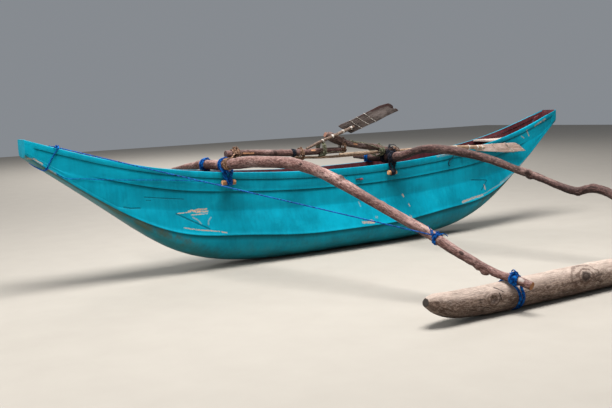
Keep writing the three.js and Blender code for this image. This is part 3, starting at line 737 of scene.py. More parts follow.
# %% [markdown]
# ## The stem heads
# Both ends are closed by a blunt block. It carries the hull's section on, with the rim moulded in and
# dying out, and ends in a flat board. So the same skin and Solidify way works: the last rings of the
# grid turn a soft corner, shrink to the middle of the top edge and fill the end.

# %% Stem heads
HEAD_WALL = 14


def stem_head(name, end):
    places = np.concatenate([np.linspace(SHELL_END + 0.3, HALF_LENGTH - 9, 18),
        HALF_LENGTH - np.array([4, 1.5])])
    h = hull_at(places)
    plain = np.zeros_like(places)
    foot = h["foot"] + 1
    rim = [(h["top"] - 5, h["rim"], plain), (h["top"] - 1.5, h["rim"] - 2, plain),
        (h["top"], h["rim"] - 8, plain)]
    rim += [(h["top"] + 0.1 * h["proud"], 0.5 * (h["rim"] + foot), plain), (h["top"], foot + 5, plain)]
    rim += [(h["top"] - 0.5 * h["proud"], foot, plain)]
    across = side_to_side(np.concatenate([np.array([np.broadcast_arrays(*p) for p in rim]),
        half_section(places)[1:]]))
    values = weathered(places, across)
    rings = np.stack([np.broadcast_to(places, across[:, 0].shape), across[:, 0], across[:, 1]],
        -1).transpose(1, 0, 2)
    centre = np.array([HALF_LENGTH, 0, h["rim"][-1]])
    for back, inset in ((-1, 0.975), (-2, 0.993)):
        rings[back] = centre + (rings[back] - centre) * (1, inset, inset)
    board = []
    for share in (0.95, 0.8, 0.6, 0.3, 0):
        ring = centre + (rings[-1:] - centre) * (1, share, share)
        ring[..., 0] = HALF_LENGTH - 0.5
        board.append(ring)
    points = np.concatenate([rings, *board]) * (end, 1, 1)
    kept_values = {key: np.concatenate([value, np.repeat(0 * value[-1:], len(board), axis=0)]) for key,
        value in values.items()}
    head = close_up(laid_grid(name, points, kept_values))
    outwards = max(head.data.polygons, key=lambda face: face.center.x * end)
    if outwards.normal.x * end < 0:
        head.data.flip_normals()
    two_coloured(head)
    outer = len(head.data.vertices)
    modified(head, "wall", "SOLIDIFY", thickness=HEAD_WALL * 0.001, offset=-1, material_offset=1)
    for vertex in head.data.vertices[outer:]:
        vertex.co.x = end * min(end * vertex.co.x, (HALF_LENGTH - 6) / 1000)
    smooth(head, 32)
    return head


for place, end in (("bow", -1), ("stern", 1)):
    head = stands_for(stem_head(f"head_{place}", end), [f"stem_head_{place}"], "hull_paint")
    tell(head)

# %% [markdown]
# ## Booms and poles
# Each boom is one bent branch, stripped of most of its bark. Its rows give the middle of the branch
# and its radius. Low swells, fine ridges and a few knots lift the skin, so that light breaks on it as
# it does on real wood, and the ends are cut flat.

# %% Rows of the wooden limbs
# x, y, z of the middle, then the radius
BOW_BOOM = [
    (-1616, 953, 978, 18), (-1599, 822, 991, 27), (-1579, 672, 1009, 36), (-1552, 464, 1034, 44),
    (-1528, 284, 1051, 50),
    (-1525, 0, 1058, 52), (-1524, -180, 1068, 53), (-1522, -285, 1080, 54), (-1496, -384, 1085, 57),
    (-1442, -606, 1106, 58),
    (-1407, -749, 1109, 57), (-1357, -955, 1108, 56), (-1308, -1154, 1102, 57), (-1247, -1406, 1061, 52),
    (-1174, -1704, 965, 52),
    (-1105, -1986, 846, 46), (-1001, -2410, 667, 44), (-929, -2708, 545, 43), (-882, -2897, 450, 40),
    (-816, -3168, 335, 36),
    (-776, -3335, 278, 32), (-738, -3500, 250, 33), (-711, -3610, 218, 33),
]
STERN_BOOM = [
    (688, 620, 978, 20), (668, 460, 985, 30), (650, 290, 989, 42), (640, 200, 988, 46), (617, -7, 990, 46),
    (597, -190, 999, 47),
    (590, -285, 1004, 48), (613, -380, 1016, 49), (648, -524, 1053, 45), (687, -685, 1094, 44),
    (735, -879, 1103, 48),
    (781, -1068, 1088, 47), (834, -1287, 1052, 46), (878, -1464, 1015, 42), (920, -1636, 968, 42),
    (960, -1804, 910, 38),
    (1000, -1967, 861, 42), (1039, -2126, 808, 36), (1077, -2281, 752, 37), (1114, -2431, 707, 40),
    (1132, -2506, 702, 42),
    (1150, -2579, 724, 41), (1168, -2652, 732, 41), (1185, -2724, 721, 43), (1209, -2820, 683, 42),
    (1276, -3100, 471, 39),
    (1310, -3235, 355, 39), (1341, -3366, 272, 38), (1375, -3500, 234, 37), (1402, -3610, 201, 34),
]
FLOAT = [
    (-1560, -3385, 192, 34), (-1500, -3380, 180, 64), (-1390, -3375, 150, 92), (-1200, -3370, 126, 108),
    (-950, -3370, 115, 115),
    (-500, -3368, 118, 118), (0, -3365, 119, 119), (500, -3365, 118, 118), (1000, -3368, 115, 115),
    (1400, -3370, 112, 112),
    (1750, -3375, 124, 104), (2000, -3380, 150, 88), (2140, -3385, 178, 60), (2200, -3388, 190, 34),
]
LONG_SPAR = [(-1500, -190, 1171, 42), (-1426, -190, 1173, 37), (-1215, -190, 1170, 32),
    (-728, -190, 1137, 37), (-342, -190, 1131, 35), (-120, -190, 1128, 32), (-5, -190, 1126, 25)]
CROOKED_SPAR = [(-275, -200, 1309, 30), (-225, -200, 1290, 44), (-11, -200, 1203, 38),
    (153, -200, 1169, 36), (264, -200, 1150, 37), (405, -200, 1130, 35), (560, -200, 1092, 33),
    (640, -200, 1084, 31), (745, -200, 1072, 24)]
LIGHT_STICK = [(20, -40, 1064, 17), (250, -42, 1062, 20), (480, -44, 1062, 21), (600, -46, 1063, 19)]
RAISED_POLE = [(-560, -262, 1173, 13), (-397, -262, 1231, 17), (-116, -262, 1319, 18), (30, -262, 1365, 17),
    (80, -262, 1379, 14)]
STOWED_POLE = [(-665, -140, 1078, 12), (-560, -140, 1074, 14), (-313, -140, 1060, 14),
    (-30, -140, 1056, 15), (600, -140, 1064, 15), (1563, -270, 1057, 21), (1758, -284, 1046, 24),
    (1902, -284, 1035, 24), (2021, -284, 1026, 20)]

# %% Knots and swells on a limb
def branch_skin(knots=(), swell=2.5, ridge=1.0, seed=0.0):
    """A function that lifts a rod's skin. Knots are x, y, z, width and height, in millimetres."""
    def surface(skin, reach, angle):
        lift = np.zeros(skin.shape[:2])
        turned = [(math.cos(a), math.sin(a)) for a in angle]
        for i, run in enumerate(reach):
            for j, (c, s) in enumerate(turned):
                low = noise.noise(Vector((run * 0.006 + seed, c * 0.7, s * 0.7)))
                mid = noise.noise(Vector((run * 0.02, c * 1.6 + seed, s * 1.6)))
                fine = noise.noise(Vector((run * 0.012, c * 5, s * 5 + seed)))
                lift[i, j] = swell * low + 0.5 * swell * mid + ridge * (0.5 - abs(fine) * 2)
        for x, y, z, width, height in knots:
            away = np.linalg.norm(skin - (x, y, z), axis=2) / width
            lift += height * np.exp(-(away**2)) - 0.35 * height * np.exp(-((away - 1.4) ** 2) * 6)
        return lift
    return surface


# a cut end: the share of the radius and the sink of each of its rings
FLAT_END = ((0, 0), (0.35, 0), (0.7, 0), (0.94, 0))


def limb(name, rows, sides, step, surface):
    points = resampled(rows, step)
    piece = rod(name, points[:, :3], points[:, 3], sides, surface=surface, end=FLAT_END)
    return smooth(piece, 50)


# %% Booms and spars
LIMBS = [
    # name, rows, sides, step, knots, swell, ridge, nodes, slot
    ("bow_branch", BOW_BOOM, 32, 12, [(-1167, -1790, 1014, 42, 22), (-814, -3160, 300, 44, 14),
        (-802, -3212, 282, 34, 26), (-1317, -1300, 1122, 40, 8), (-893, -3024, 440, 34, 7),
        (-1480, -440, 1122, 40, 8), (-1560, 380, 1075, 35, 7), (-960, -2560, 563, 34, 7),
        (-1040, -2230, 786, 34, 6)], 3, 1.6, ["boom_bow"], "boom_wood"),
    ("stern_branch", STERN_BOOM, 32, 12, [(963, -2002, 889, 40, 19), (985, -1990, 816, 34, 12),
        (1091, -2508, 660, 36, 10), (801, -1341, 1090, 36, 6), (690, -800, 1056, 40, 7),
        (620, -330, 1058, 42, 8), (1168, -2640, 768, 40, 7), (1250, -3000, 590, 32, 6)], 3, 1.6,
        ["boom_stern"], "boom_wood"),
    ("long_pole", LONG_SPAR, 28, 10, [(-934, -226, 1150, 26, 8), (-1250, -215, 1205, 24, 6),
        (-560, -222, 1150, 22, 5), (-830, -190, 1180, 26, 5)], 2, 1.0, ["long_spar"], "spar_wood"),
    ("crooked_branch", CROOKED_SPAR, 28, 10,
        [(-36, -225, 1225, 30, 10), (60, -236, 1175, 24, 6), (264, -236, 1165, 26, 6),
        (480, -235, 1115, 22, 5), (-215, -230, 1325, 34, 9)], 2.5, 1.2, ["crooked_spar"], "spar_wood"),
    ("pale_stick", LIGHT_STICK, 20, 10, [], 1.2, 0.5, ["light_stick"], "spar_wood"),
    ("raised_handle", RAISED_POLE, 20, 10, [], 0.8, 0.4, ["raised_paddle_pole"], "paddle_wood"),
    ("stowed_handle", STOWED_POLE, 20, 12, [], 0.8, 0.4, ["stowed_paddle_pole"], "paddle_wood"),
]
for k, (name, rows, sides, step, knots, swell, ridge, nodes, slot) in enumerate(LIMBS):
    piece = limb(name, rows, sides, step, branch_skin(knots, swell, ridge, seed=3.7 * k))
    stands_for(piece, nodes, slot)
    tell(piece)

# %% [markdown]
# ## The float
# The float is a whole log, worn smooth and bent up at its ends. Splits run along it, and a
# branch once grew where a deep knot hole is now. Splits and hole are cut into the skin itself, so that
# they hold shadow from every side.

# %% Float
def driftwood_skin(skin, reach, angle):
    lift = np.zeros(skin.shape[:2])
    for i, run in enumerate(reach):
        for j, a in enumerate(angle):
            c, s = math.cos(a), math.sin(a)
            low = noise.noise(Vector((run * 0.003, c, s)))
            mid = noise.noise(Vector((run * 0.011, c * 2.2, s * 2.2 + 4)))
            vein = noise.noise(Vector((run * 0.0032, c * 3.1 + 9, s * 3.1)))
            split = max(0.0, 1 - abs(vein) / 0.035) * max(0.0,
                noise.noise(Vector((run * 0.004, c * 2 + 3, s * 2))) + 0.1)
            lift[i, j] = 5 * low + 2.2 * mid - 9 * split
    for x, y, z, width, height in FLOAT_KNOTS:
        away = np.linalg.norm(skin - (x, y, z), axis=2) / width
        lift += height * np.exp(-(away**2))
        if height < 0:
            lift += 7 * np.exp(-((away - 1.55) ** 2) * 5)
    return lift


# x, y, z, width and height of each knot; a hole has a negative height
FLOAT_KNOTS = [(-976, -3480, 140, 24, -26), (53, -3476, 160, 60, 9), (-1250, -3470, 190, 40, 6),
    (520, -3470, 90, 46, 7), (1180, -3300, 210, 40, 6), (1600, -3470, 120, 26, -14)]
points = resampled(FLOAT, 14)
log = rod("driftwood_float", points[:, :3], points[:, 3] - 1.5, 72, surface=driftwood_skin, end=FLAT_END)
above_floor(log)
stands_for(smooth(log, 50), ["float_log"], "float_wood")
print("float:", len(log.data.polygons), "faces,", round(along_line(points[:, :3])[0][-1] / 1000, 2),
    "m long")

# %% [markdown]
# ## Toggles, peg and seats
# A toggle is a short billet of wood that hangs in the lashing below the rim and spreads its pull. It
# starts as a cylinder, its ends are inset and bevelled as a knife leaves them, and it is worn a little
# out of round. The seats are planks, each a cube cut to the hull's taper.

# %% Toggles
CROSSINGS = {
    # hand, boom, the toggle's x and length, places across the hull where the rope goes round the boom
    "bow_windward": (-1, BOW_BOOM, -1529, 150, (-196,)),
    "bow_leeward": (1, BOW_BOOM, -1527, 150, (255,)),
    "stern_windward": (-1, STERN_BOOM, 562, 116, (-120, -290)),
    "stern_leeward": (1, STERN_BOOM, 648, 150, (245,)),
}
TOGGLE_RADIUS, TOGGLE_DROP = 27, 105


def toggle_middle(place):
    hand, _, x, _, _ = CROSSINGS[place]
    h = hull_at(x)
    return np.array([x, hand * (h["top"][0] + TOGGLE_RADIUS + 2), h["rim"][0] - TOGGLE_DROP])


def near(piece, test):
    """Selects the faces that pass a test, in edit mode."""
    bpy.ops.object.mode_set(mode="OBJECT")
    for face in piece.data.polygons:
        face.select = test(face)
    for edge in piece.data.edges:
        edge.select = False
    for vertex in piece.data.vertices:
        vertex.select = False
    for face in piece.data.polygons:
        if face.select:
            for v in face.vertices:
                piece.data.vertices[v].select = True
    bpy.ops.object.mode_set(mode="EDIT")


def billet(name, middle, length, radius, seed):
    """A short round of wood along X, with cut ends."""
    size = dict(vertices=28, radius=radius * 0.001, depth=length * 0.001, end_fill_type="NGON")
    place = dict(location=in_frame(middle), rotation=(0, math.pi / 2, 0))
    piece = added(name, bpy.ops.mesh.primitive_cylinder_add, **size, **place)
    bpy.ops.object.transform_apply(location=True, rotation=True, scale=True)
    bpy.ops.object.mode_set(mode="EDIT")
    bpy.ops.mesh.select_mode(type="FACE")
    near(piece, lambda face: abs(face.normal.x) > 0.9)
    bpy.ops.mesh.bevel(offset=0.0025, segments=2)
    for share in (0.006, 0.008):
        near(piece, lambda face: abs(face.normal.x) > 0.98 and len(face.vertices) > 6)
        bpy.ops.mesh.inset(thickness=share, use_individual=True)
    near(piece, lambda face: abs(face.normal.x) < 0.5 and face.area > 1e-5)
    bpy.ops.mesh.subdivide(number_cuts=4)
    bpy.ops.object.mode_set(mode="OBJECT")
    core = Vector(in_frame(middle))
    cut = piece.data.attributes.new("cut", "FLOAT", "POINT")
    straight = piece.data.attributes.new("straight", "FLOAT_VECTOR", "POINT")
    for i, vertex in enumerate(piece.data.vertices):
        off = vertex.co - core
        round_off = Vector((0, off.y, off.z))
        share = round_off.length / (radius * 0.001)
        wobble = 0.0022 * noise.noise(Vector((off.x * 14 + seed, off.y * 30, off.z * 30)))
        if share > 0.4:
            vertex.co += round_off.normalized() * (wobble - 0.0012)
        cut.data[i].value = float(abs(off.x) > length * 0.0005 - 0.0006)
        straight.data[i].vector = off
    return smooth(piece, 40)


for k, place in enumerate(CROSSINGS):
    piece = billet(f"billet_{place}", toggle_middle(place), CROSSINGS[place][3] - 1, TOGGLE_RADIUS, 5.3 * k)
    stands_for(piece, [f"toggle_{place}"], "toggle_wood")
print("a toggle has", len(piece.data.polygons), "faces")

# %% Peg under the rim
peg_y = -(hull_value(66, "top") - RIM_PROUD + 12.5)
peg = billet("peg", (113, peg_y, 788), 93, 10.5, 2)
peg.data.materials.append(bpy.data.materials.new("black plastic"))
peg.data.materials.append(bpy.data.materials.new("red plastic"))
for face in peg.data.polygons:
    face.material_index = int(face.center.x > 0.128)
stands_for(peg, ["side_peg"], "peg_plastic")

# %% Seat planks
PLANK_THICKNESS = 23.5


def plank(name, x0, x1, gap, lift=0.0):
    """One board across the slot, between two places along the hull."""
    reach = [hull_value(x, "top") - RIM_WIDTH - 1 for x in (x0, x1)]
    middle = ((x0 + x1) / 2, 0, 1088 + lift)
    scale = (abs(x1 - x0) * 0.001 - gap, reach[0] * 0.002, PLANK_THICKNESS * 0.001)
    piece = added(name, bpy.ops.mesh.primitive_cube_add, size=1, location=in_frame(middle), scale=scale)
    bpy.ops.object.transform_apply(location=True, rotation=True, scale=True)
    for vertex in piece.data.vertices:
        nearer = abs(vertex.co.x * 1000 - x1) < abs(vertex.co.x * 1000 - x0)
        vertex.co.y = HULL_Y / 1000 + math.copysign(reach[nearer] / 1000, vertex.co.y - HULL_Y / 1000)
    with editing():
        bpy.ops.mesh.bevel(offset=0.0022, segments=2)
    return smooth(piece, 40)


for place, end in (("bow", -1), ("stern", 1)):
    edges = [2290, 2462, 2655, 2840]
    boards = [plank(f"board_{place}_{i}", end * edges[i], end * edges[i + 1], 0.004,
        (0, -0.3, 0.2)[i]) for i in range(3)]
    stands_for(joined(f"seat_{place}", boards), [f"seat_plank_{place}"], "seat_planks")
print("each seat is", len(boards), "boards")

# %% [markdown]
# ## Paddle blades
# A blade is a thin weathered board, bound along the end of its pole. A filled circle gives one face
# with as many corners as the blade's outline; the corners are moved to the outline, the face is
# extruded to the board's thickness, and its edges are worn round with a bevel.

# %% Blades
def blade(name, outline, y, thickness, worn=0.003):
    filled = dict(vertices=len(outline), radius=1, fill_type="NGON")
    piece = added(name, bpy.ops.mesh.primitive_circle_add, **filled)
    for vertex, (x, z) in zip(piece.data.vertices, outline):
        vertex.co = in_frame((x, y + thickness / 2, z))
    with editing():
        bpy.ops.mesh.extrude_region_move(TRANSFORM_OT_translate={"value": (0, -thickness * 0.001, 0)})
        bpy.ops.mesh.select_all(action="SELECT")
        bpy.ops.mesh.normals_make_consistent(inside=False)
    limit = dict(limit_method="ANGLE", angle_limit=math.radians(50))
    modified(piece, "worn edges", "BEVEL", width=worn, segments=3, **limit)
    return smooth(piece, 40)


RAISED_BLADE = [(-116, 1395), (-79, 1414), (50, 1450), (150, 1487), (246, 1520), (345, 1557), (456, 1598),
    (520, 1611), (584, 1621.5), (618, 1612), (648, 1591), (654, 1576), (650, 1566), (664, 1556),
    (686, 1561), (708, 1552), (726, 1538), (722, 1529), (640, 1503), (560, 1478), (480, 1447), (403, 1419),
    (290, 1386), (186, 1351), (110, 1327), (52, 1307), (-16, 1338), (-84, 1371)]
STOWED_BLADE = [(1905, 1058), (1985, 1060), (2063, 1061), (2180, 1059), (2310, 1058), (2435, 1055),
    (2530, 1054), (2580, 1051), (2608, 1042), (2645, 1023), (2679, 1002), (2730, 968), (2772, 941),
    (2768, 937), (2650, 936), (2535, 934), (2380, 944), (2230, 959), (2080, 974), (1938, 988), (1912, 993),
    (1900, 1012)]
for name, outline, y, thickness, node in (("raised_blade", RAISED_BLADE, -235, 15, "raised_paddle_board"),
        ("stowed_blade", STOWED_BLADE, -250, 14, "stowed_paddle_board")):
    piece = stands_for(blade(name, outline, y, thickness), [node], "paddle_wood")
    tell(piece)

# %% [markdown]
# ## Rope
# Laid rope is three strands twisted together. Its section is a clover that turns along the rope, so
# even a thin line shows its lay. Each lashing is several turns of such a rope, wound side by side and
# never quite even, with knots and loose ends where the maker tied them.

# %% Rope helper
def clover(pitch):
    """The section of three twisted strands: a share of the radius at an angle and a distance."""
    def section(angle, reach):
        turn = (angle - 2 * np.pi * reach / pitch) % (2 * np.pi / 3) - np.pi / 3
        inner = np.sqrt(np.maximum(0.464**2 - (0.536 * np.sin(turn)) ** 2, 0))
        return np.maximum(0.536 * np.cos(turn) + inner, 0.62)
    return section


def rope(name, points, radius, step=None, even=False):
    """A twisted rope through points in millimetres."""
    step = step or max(1.1 * radius, 3.2)
    line = np.asarray(points, float) if even else resampled(points, step)
    small_end = ((0, 0), (0.8, 0.0))
    return rod(name, line, radius, 12, section=clover(radius * 7), end=small_end)


def winding(middle, axis, breadth, height, turns, pitch, seed=0, start=0.0, points=22):
    """The line of a rope wound round an axis. Breadth and height are half sizes of the turn."""
    axis = unit(axis)
    side = unit(np.cross(axis, (0, 0, 1)) if abs(axis[2]) < 0.95 else np.cross(axis, (0, 1, 0)))
    up = np.cross(side, axis)
    if up[2] < 0:
        side, up = -side, -up
    chance = random.Random(seed)
    turn = np.linspace(0, turns, int(turns * points) + 1)
    loose = np.interp(turn, range(int(turns) + 2),
        [chance.uniform(-0.35, 0.35) for _ in range(int(turns) + 2)])
    fit = 1 + 0.012 * np.sin(7 * turn + seed)
    angle = 2 * np.pi * (turn + start)
    across = pitch * (turn - turns / 2 + loose)
    return np.asarray(middle) + side * (breadth * fit * np.cos(angle))[:,
        None] + up * (height * fit * np.sin(angle))[:, None] + axis * across[:, None]


def knot_line(middle, size, seed=0):
    """The line of a small overhand knot."""
    t = np.linspace(0, 2 * np.pi, 40)[:-2]
    ring = np.stack([np.sin(t) + 2 * np.sin(2 * t), np.cos(t) - 2 * np.cos(2 * t), -1.3 * np.sin(3 * t)], 1)
    chance = random.Random(seed)
    spin = np.array(Matrix.Rotation(chance.uniform(0, 6), 3,
        (chance.random(), chance.random(), chance.random() + 0.1)))
    return np.asarray(middle) + size / 3 * (ring @ spin)


def at_boom(rows, y):
    """Middle, direction and radius of a boom where it passes a place across the hull."""
    points = resampled(rows, 8)
    i = int(np.argmin(np.abs(points[:, 1] - y)))
    ahead = unit(points[min(i + 2, len(points) - 1), :3] - points[max(i - 2, 0), :3])
    return points[i, :3], ahead, points[i, 3]


EVEN_FROM = 60  # a line with more places than this is a winding, whose places are even already


def lashing(name, lines, nodes, slot, radius=4.5):
    """Joins the ropes of one lashing. A line may carry its own radius."""
    made = []
    for i, line in enumerate(lines):
        places, thick = line if isinstance(line, tuple) else (line, radius)
        made.append(rope(f"{name}_{i}", places, thick, even=len(places) > EVEN_FROM))
    piece = joined(name, made)
    piece.data.shade_smooth()
    return stands_for(piece, nodes, slot)


# %% Lashings at the toggles
THIN = 5.2


def toggle_lines(place, bundle, bands, seed):
    """Rope over the boom, down both its flanks to the toggle and round it, and turns round the boom."""
    hand, rows, toggle_x, length, places = CROSSINGS[place]
    toggle = toggle_middle(place)
    lines = []
    rim = hull_value(toggle_x, "rim")
    top = hull_value(toggle_x, "top")
    (bx, by, bz), ahead, br = at_boom(rows, places[-1])
    r = br + THIN + 1
    for k in range(bundle):
        off = (k - (bundle - 1) / 2) * 2 * THIN * 1.02
        front = toggle[1] + hand * (TOGGLE_RADIUS + THIN + 0.5)
        left = []
        for turn in (-1, 1):
            left.append([
                (toggle[0] + turn * (15 + 0.3 * off), toggle[1] + hand * 4,
                    toggle[2] - TOGGLE_RADIUS - THIN),
                (toggle[0] + turn * (15 + 0.6 * off), toggle[1] + hand * 22,
                    toggle[2] - TOGGLE_RADIUS * 0.75 - THIN),
                (toggle[0] + turn * (16 + 0.9 * off), front, toggle[2] + 2),
                (toggle[0] + turn * (20 + off) + 0.25 * (bx - toggle[0]), hand * (top + 34),
                    toggle[2] + 42),
                (0.35 * toggle[0] + 0.65 * bx + turn * (0.8 * r + off * 0.9), hand * (top + 12), rim + 2),
                (bx + turn * (r + max(0.0, off) * 0.1), by + off * 0.4 + hand * 14, bz + 4),
                (bx + turn * 0.72 * r, by + off, bz + 0.72 * r),
            ])
        lines.append(np.array([*left[0], (bx, by + off * 1.1, bz + r), *left[1][::-1]]))
    lines.append(winding(toggle, (1, 0, 0), TOGGLE_RADIUS + THIN, TOGGLE_RADIUS + THIN, int(length / 26),
        2 * THIN + 0.6, seed))
    for k, (y, turns) in enumerate(bands):
        middle, ahead, radius = at_boom(rows, y)
        lines.append(winding(middle, ahead, radius + THIN + 0.5, radius + THIN + 0.5, turns, 2 * THIN + 0.6,
            seed + k, 0.2))
        lines.append(winding(middle + (0, 6, 0), ahead + (0.2, 0, 0), radius + 3 * THIN, radius + 3 * THIN,
            0.45 * turns, 3.6 * THIN, seed + 9 + k, 0.6))
        lines.append(winding(middle - (0, 9, 0), ahead - (0.25, 0, 0), radius + 3.6 * THIN,
            radius + 3.6 * THIN, 1.3, 4 * THIN, seed + 5 + k, 0.1))
    return lines


for place, bundle, bands in (
    ("bow_windward", 4, [(-200, 6)]),
    ("bow_leeward", 3, [(252, 8)]),
    ("stern_windward", 3, [(-125, 7), (-285, 6)]),
    ("stern_leeward", 3, [(245, 6)]),
):
    slot = "black_rope" if place == "stern_windward" else "blue_rope"
    lines = toggle_lines(place, bundle, bands, seed=len(place))
    hand, rows = CROSSINGS[place][:2]
    middle, _, radius = at_boom(rows, bands[0][0])
    if place == "stern_windward":
        other, _, wide = at_boom(rows, bands[1][0])
        lines.append(np.array([middle + (radius, 0, -radius * 0.7),
            (middle + other) / 2 + (radius * 0.6, 0, -radius - 8), other + (wide, 0, -wide * 0.7)]))
    lines.append((knot_line(middle + (6, 0, radius + 12), 15, seed=3), THIN - 0.5))
    lines.append(np.array([middle + (10, 0, radius + 12), middle + (22, -10, radius + 24),
        middle + (36, -16, radius + 16)]))
    side = hand * (hull_value(middle[0], "top") + 2 * THIN)
    if hand < 0:
        low = middle[2] - radius
        lines.append((knot_line((middle[0] - 6, side - 14, low - 22), 22, seed=8), THIN))
        tail = [(-30, -4, 0), (-56, -10, -34), (-58, -8, -74), (-44, -6, -96), (-36, -6, -60),
            (-24, -4, -14)]
        lines.append((np.array([(middle[0] + a, side + b, low + c) for a, b, c in tail]), 4.4))
    piece = lashing(f"ropes_{place}", lines, [f"lashing_{place}"], slot)
    tell(piece)

# %% Rope round poles and spars
def pole_lines(middle, breadth, height, turns, seed, thick=4.0, lean=0.15):
    """Turns round two or more poles that lie along X, a few of them drawn crosswise."""
    middle = np.asarray(middle, float)
    lines = [(winding(middle, (1, 0, 0), breadth, height, turns, 2 * thick + 0.8, seed), thick)]
    lines.append((winding(middle + (3, 0, 0), (1, lean, 0.1), breadth + thick, height + thick, 2.5,
        3.2 * thick, seed + 1, 0.4), thick))
    lines.append((winding(middle, (1, -2.2 * lean, -0.2), breadth + 1.4 * thick, height + 1.4 * thick, 1.5,
        4 * thick, seed + 2, 0.7), thick))
    knot = middle + (4, -breadth * 0.3, height + 1.6 * thick)
    lines.append((knot_line(knot, 13, seed), thick - 0.6))
    return lines


for name, middle, breadth, height, turns, nodes, slot in (
    ("ropes_raised_paddle", (-345, -222, 1160), 71, 80, 5, ["tie_raised_paddle"], "green_rope"),
    ("ropes_splice", (-45, -195, 1177), 46, 78, 2, ["tie_spar_splice"], "brown_rope"),
    ("ropes_light_stick", (482, -130, 1088), 116, 66, 7, ["tie_light_stick"], "green_rope"),
    ("ropes_stowed_paddle", (-592, -175, 1115), 61, 62, 3, ["tie_stowed_paddle"], "brown_rope"),
):
    piece = lashing(name, pole_lines(middle, breadth, height, turns, seed=len(name)), nodes, slot)
    tell(piece)

# %% Wrap, cross lashing and spar lashing
wrap = [(winding((-690, -190, 1135), (1, 0, -0.05), 39, 39, 7.5, 6.6, 5), 3.2),
    (winding((-694, -190, 1135), (1, 0.1, 0), 42.5, 42.5, 3, 9, 6), 3)]
lashing("wrap_on_spar", wrap, ["spar_wrap"], "black_rope")

cross = []
for turn in (-1, 1):
    for k in range(3):
        cross.append((winding((597 + 9 * (k - 1), -200 + 9 * turn * (k - 1), 1036), (1, turn, 0), 84, 84,
            1.05, 3, 11 * k, 0.25 * k), 4.2))
for k in range(4):
    cross.append((winding((560 + 16 * k, -205 - 10 * k, 1010), (1, 0.5 - 0.35 * k, 0.15), 74, 72, 1.3, 12,
        7 * k + 2, 0.3 * k), 5))
cross.append((knot_line((600, -214, 1132), 20, 4), 4))
cross.append(np.array([(600, -214, 1132), (640, -236, 1146), (668, -246, 1128), (676, -250, 1110)]))
lashing("ropes_cross", cross, ["spar_lashing_stern"], "black_rope")

middle, ahead, radius = at_boom(BOW_BOOM, -292)
brown = [(winding(middle, ahead, radius + 5, radius + 5, 8, 9, 21), 4.4),
    (winding((-1388, -190, 1177), (1, 0.02, 0.05), 43, 43, 10, 9.4, 22), 4.6)]
for k in range(4):
    brown.append((winding((-1385 + 12 * (k - 1), -190, 1177), (1, 0.25 * (-1) ** k, 0.2), 49, 50, 1.2, 3,
        30 + k, 0.3 * k), 4.4))
    brown.append((np.array([middle + (radius * 0.3 + 7 * k, -4, radius + 3),
        middle + (60 + 6 * k, 30, radius + 20 + 3 * k), (-1410 + 12 * k, -236, 1180 - 4 * k),
        (-1400 + 12 * k, -226, 1150)]), 4.2))
brown.append((knot_line((-1378, -205, 1232), 17, 8), 4.2))
brown.append((knot_line((-1400, -190, 1235), 15, 2), 4.2))
lashing("ropes_spar_bow", brown, ["spar_lashing_bow"], "brown_rope")

# %% Lashings to the float
LOG_MIDDLE = -3370, 122, 122  # y and z of the log's middle and its radius, with the rope on it
LASHED_AT_Y, LOG_SEAT_Y = -3478, -3425  # where the turns round the boom are, and where it meets the log


def float_ropes(rows, seat_y, foot_x, seed):
    """Rope over the boom, down both its sides and the log's front, under the log and up its back."""
    middle, ahead, radius = at_boom(rows, seat_y)
    seat, _, wide = at_boom(rows, LOG_SEAT_Y)
    log_y, log_z, log_r = LOG_MIDDLE
    lines = []
    for turn in (-1, 1):
        for k in range(3):
            out = turn * (radius + 7 + 5 * k)
            foot = foot_x + turn * (10 + 9 * k)
            fronts = [(foot + 0.25 * (middle[0] + out - foot), 0.55), (foot, 0.0), (foot, -0.55)]
            line = [tuple(middle + (-0.2 * out, -10 + 9 * k, radius + 6)),
                tuple(middle + (0.72 * out, -16 + 8 * k, 0.66 * radius)),
                tuple(middle + (out, -14 + 5 * k, -8))]
            line += [(x, log_y - log_r * math.cos(math.asin(up)) - 1, log_z + log_r * up) for x,
                up in fronts]
            line += [(foot, log_y - 40, 6), (foot, log_y + 40, 6)]
            line += [(foot, log_y + log_r * math.cos(math.asin(up)) + 2,
                log_z + log_r * up) for up in (-0.55, 0.0, 0.5, 0.85)]
            line += [(foot, log_y, log_z + log_r + 5), tuple(seat + (wide + 7 + 4 * k, 6 * k, 4)),
                tuple(seat + (0, 6 * k - 8, wide + 6))]
            lines.append((np.array(line, float), 5.6))
    lines.append((winding(middle, ahead, radius + 5, radius + 5, 5, 11.5, seed), 5.4))
    lines.append((winding(middle + (2, -6, 0), unit(ahead + (0.5, 0, 0)), radius + 12, radius + 12, 2.4, 13,
        seed + 1, 0.3), 5.4))
    lines.append((winding(middle + (0, 14, 4), unit(ahead - (0.5, 0, 0)), radius + 13, radius + 13, 1.6, 12,
        seed + 2, 0.7), 5.4))
    lines.append((knot_line(middle + (-6, 4, radius + 20), 24, 5), 5.4))
    lines.append((np.array([middle + (-4, 0, radius + 20), middle + (-34, 4, radius + 26),
        middle + (-56, 0, radius + 4), middle + (-62, -8, radius - 24)]), 5))
    return lines


for name, rows, foot_x, node in (
    ("ropes_float_bow", BOW_BOOM, -694, "float_lashing_bow"),
    ("ropes_float_stern", STERN_BOOM, 1400, "float_lashing_stern"),
):
    piece = lashing(name, float_ropes(rows, LASHED_AT_Y, foot_x, 7), [node], "blue_rope")
    above_floor(piece)
    tell(piece)

# %% [markdown]
# ### Stay, bow loop and the thin line
# A stay runs taut from a loop round the bow to the first boom and keeps the boom from swinging aft.
# A second, thinner line hangs a little below it. Both are real laid rope like the lashings.

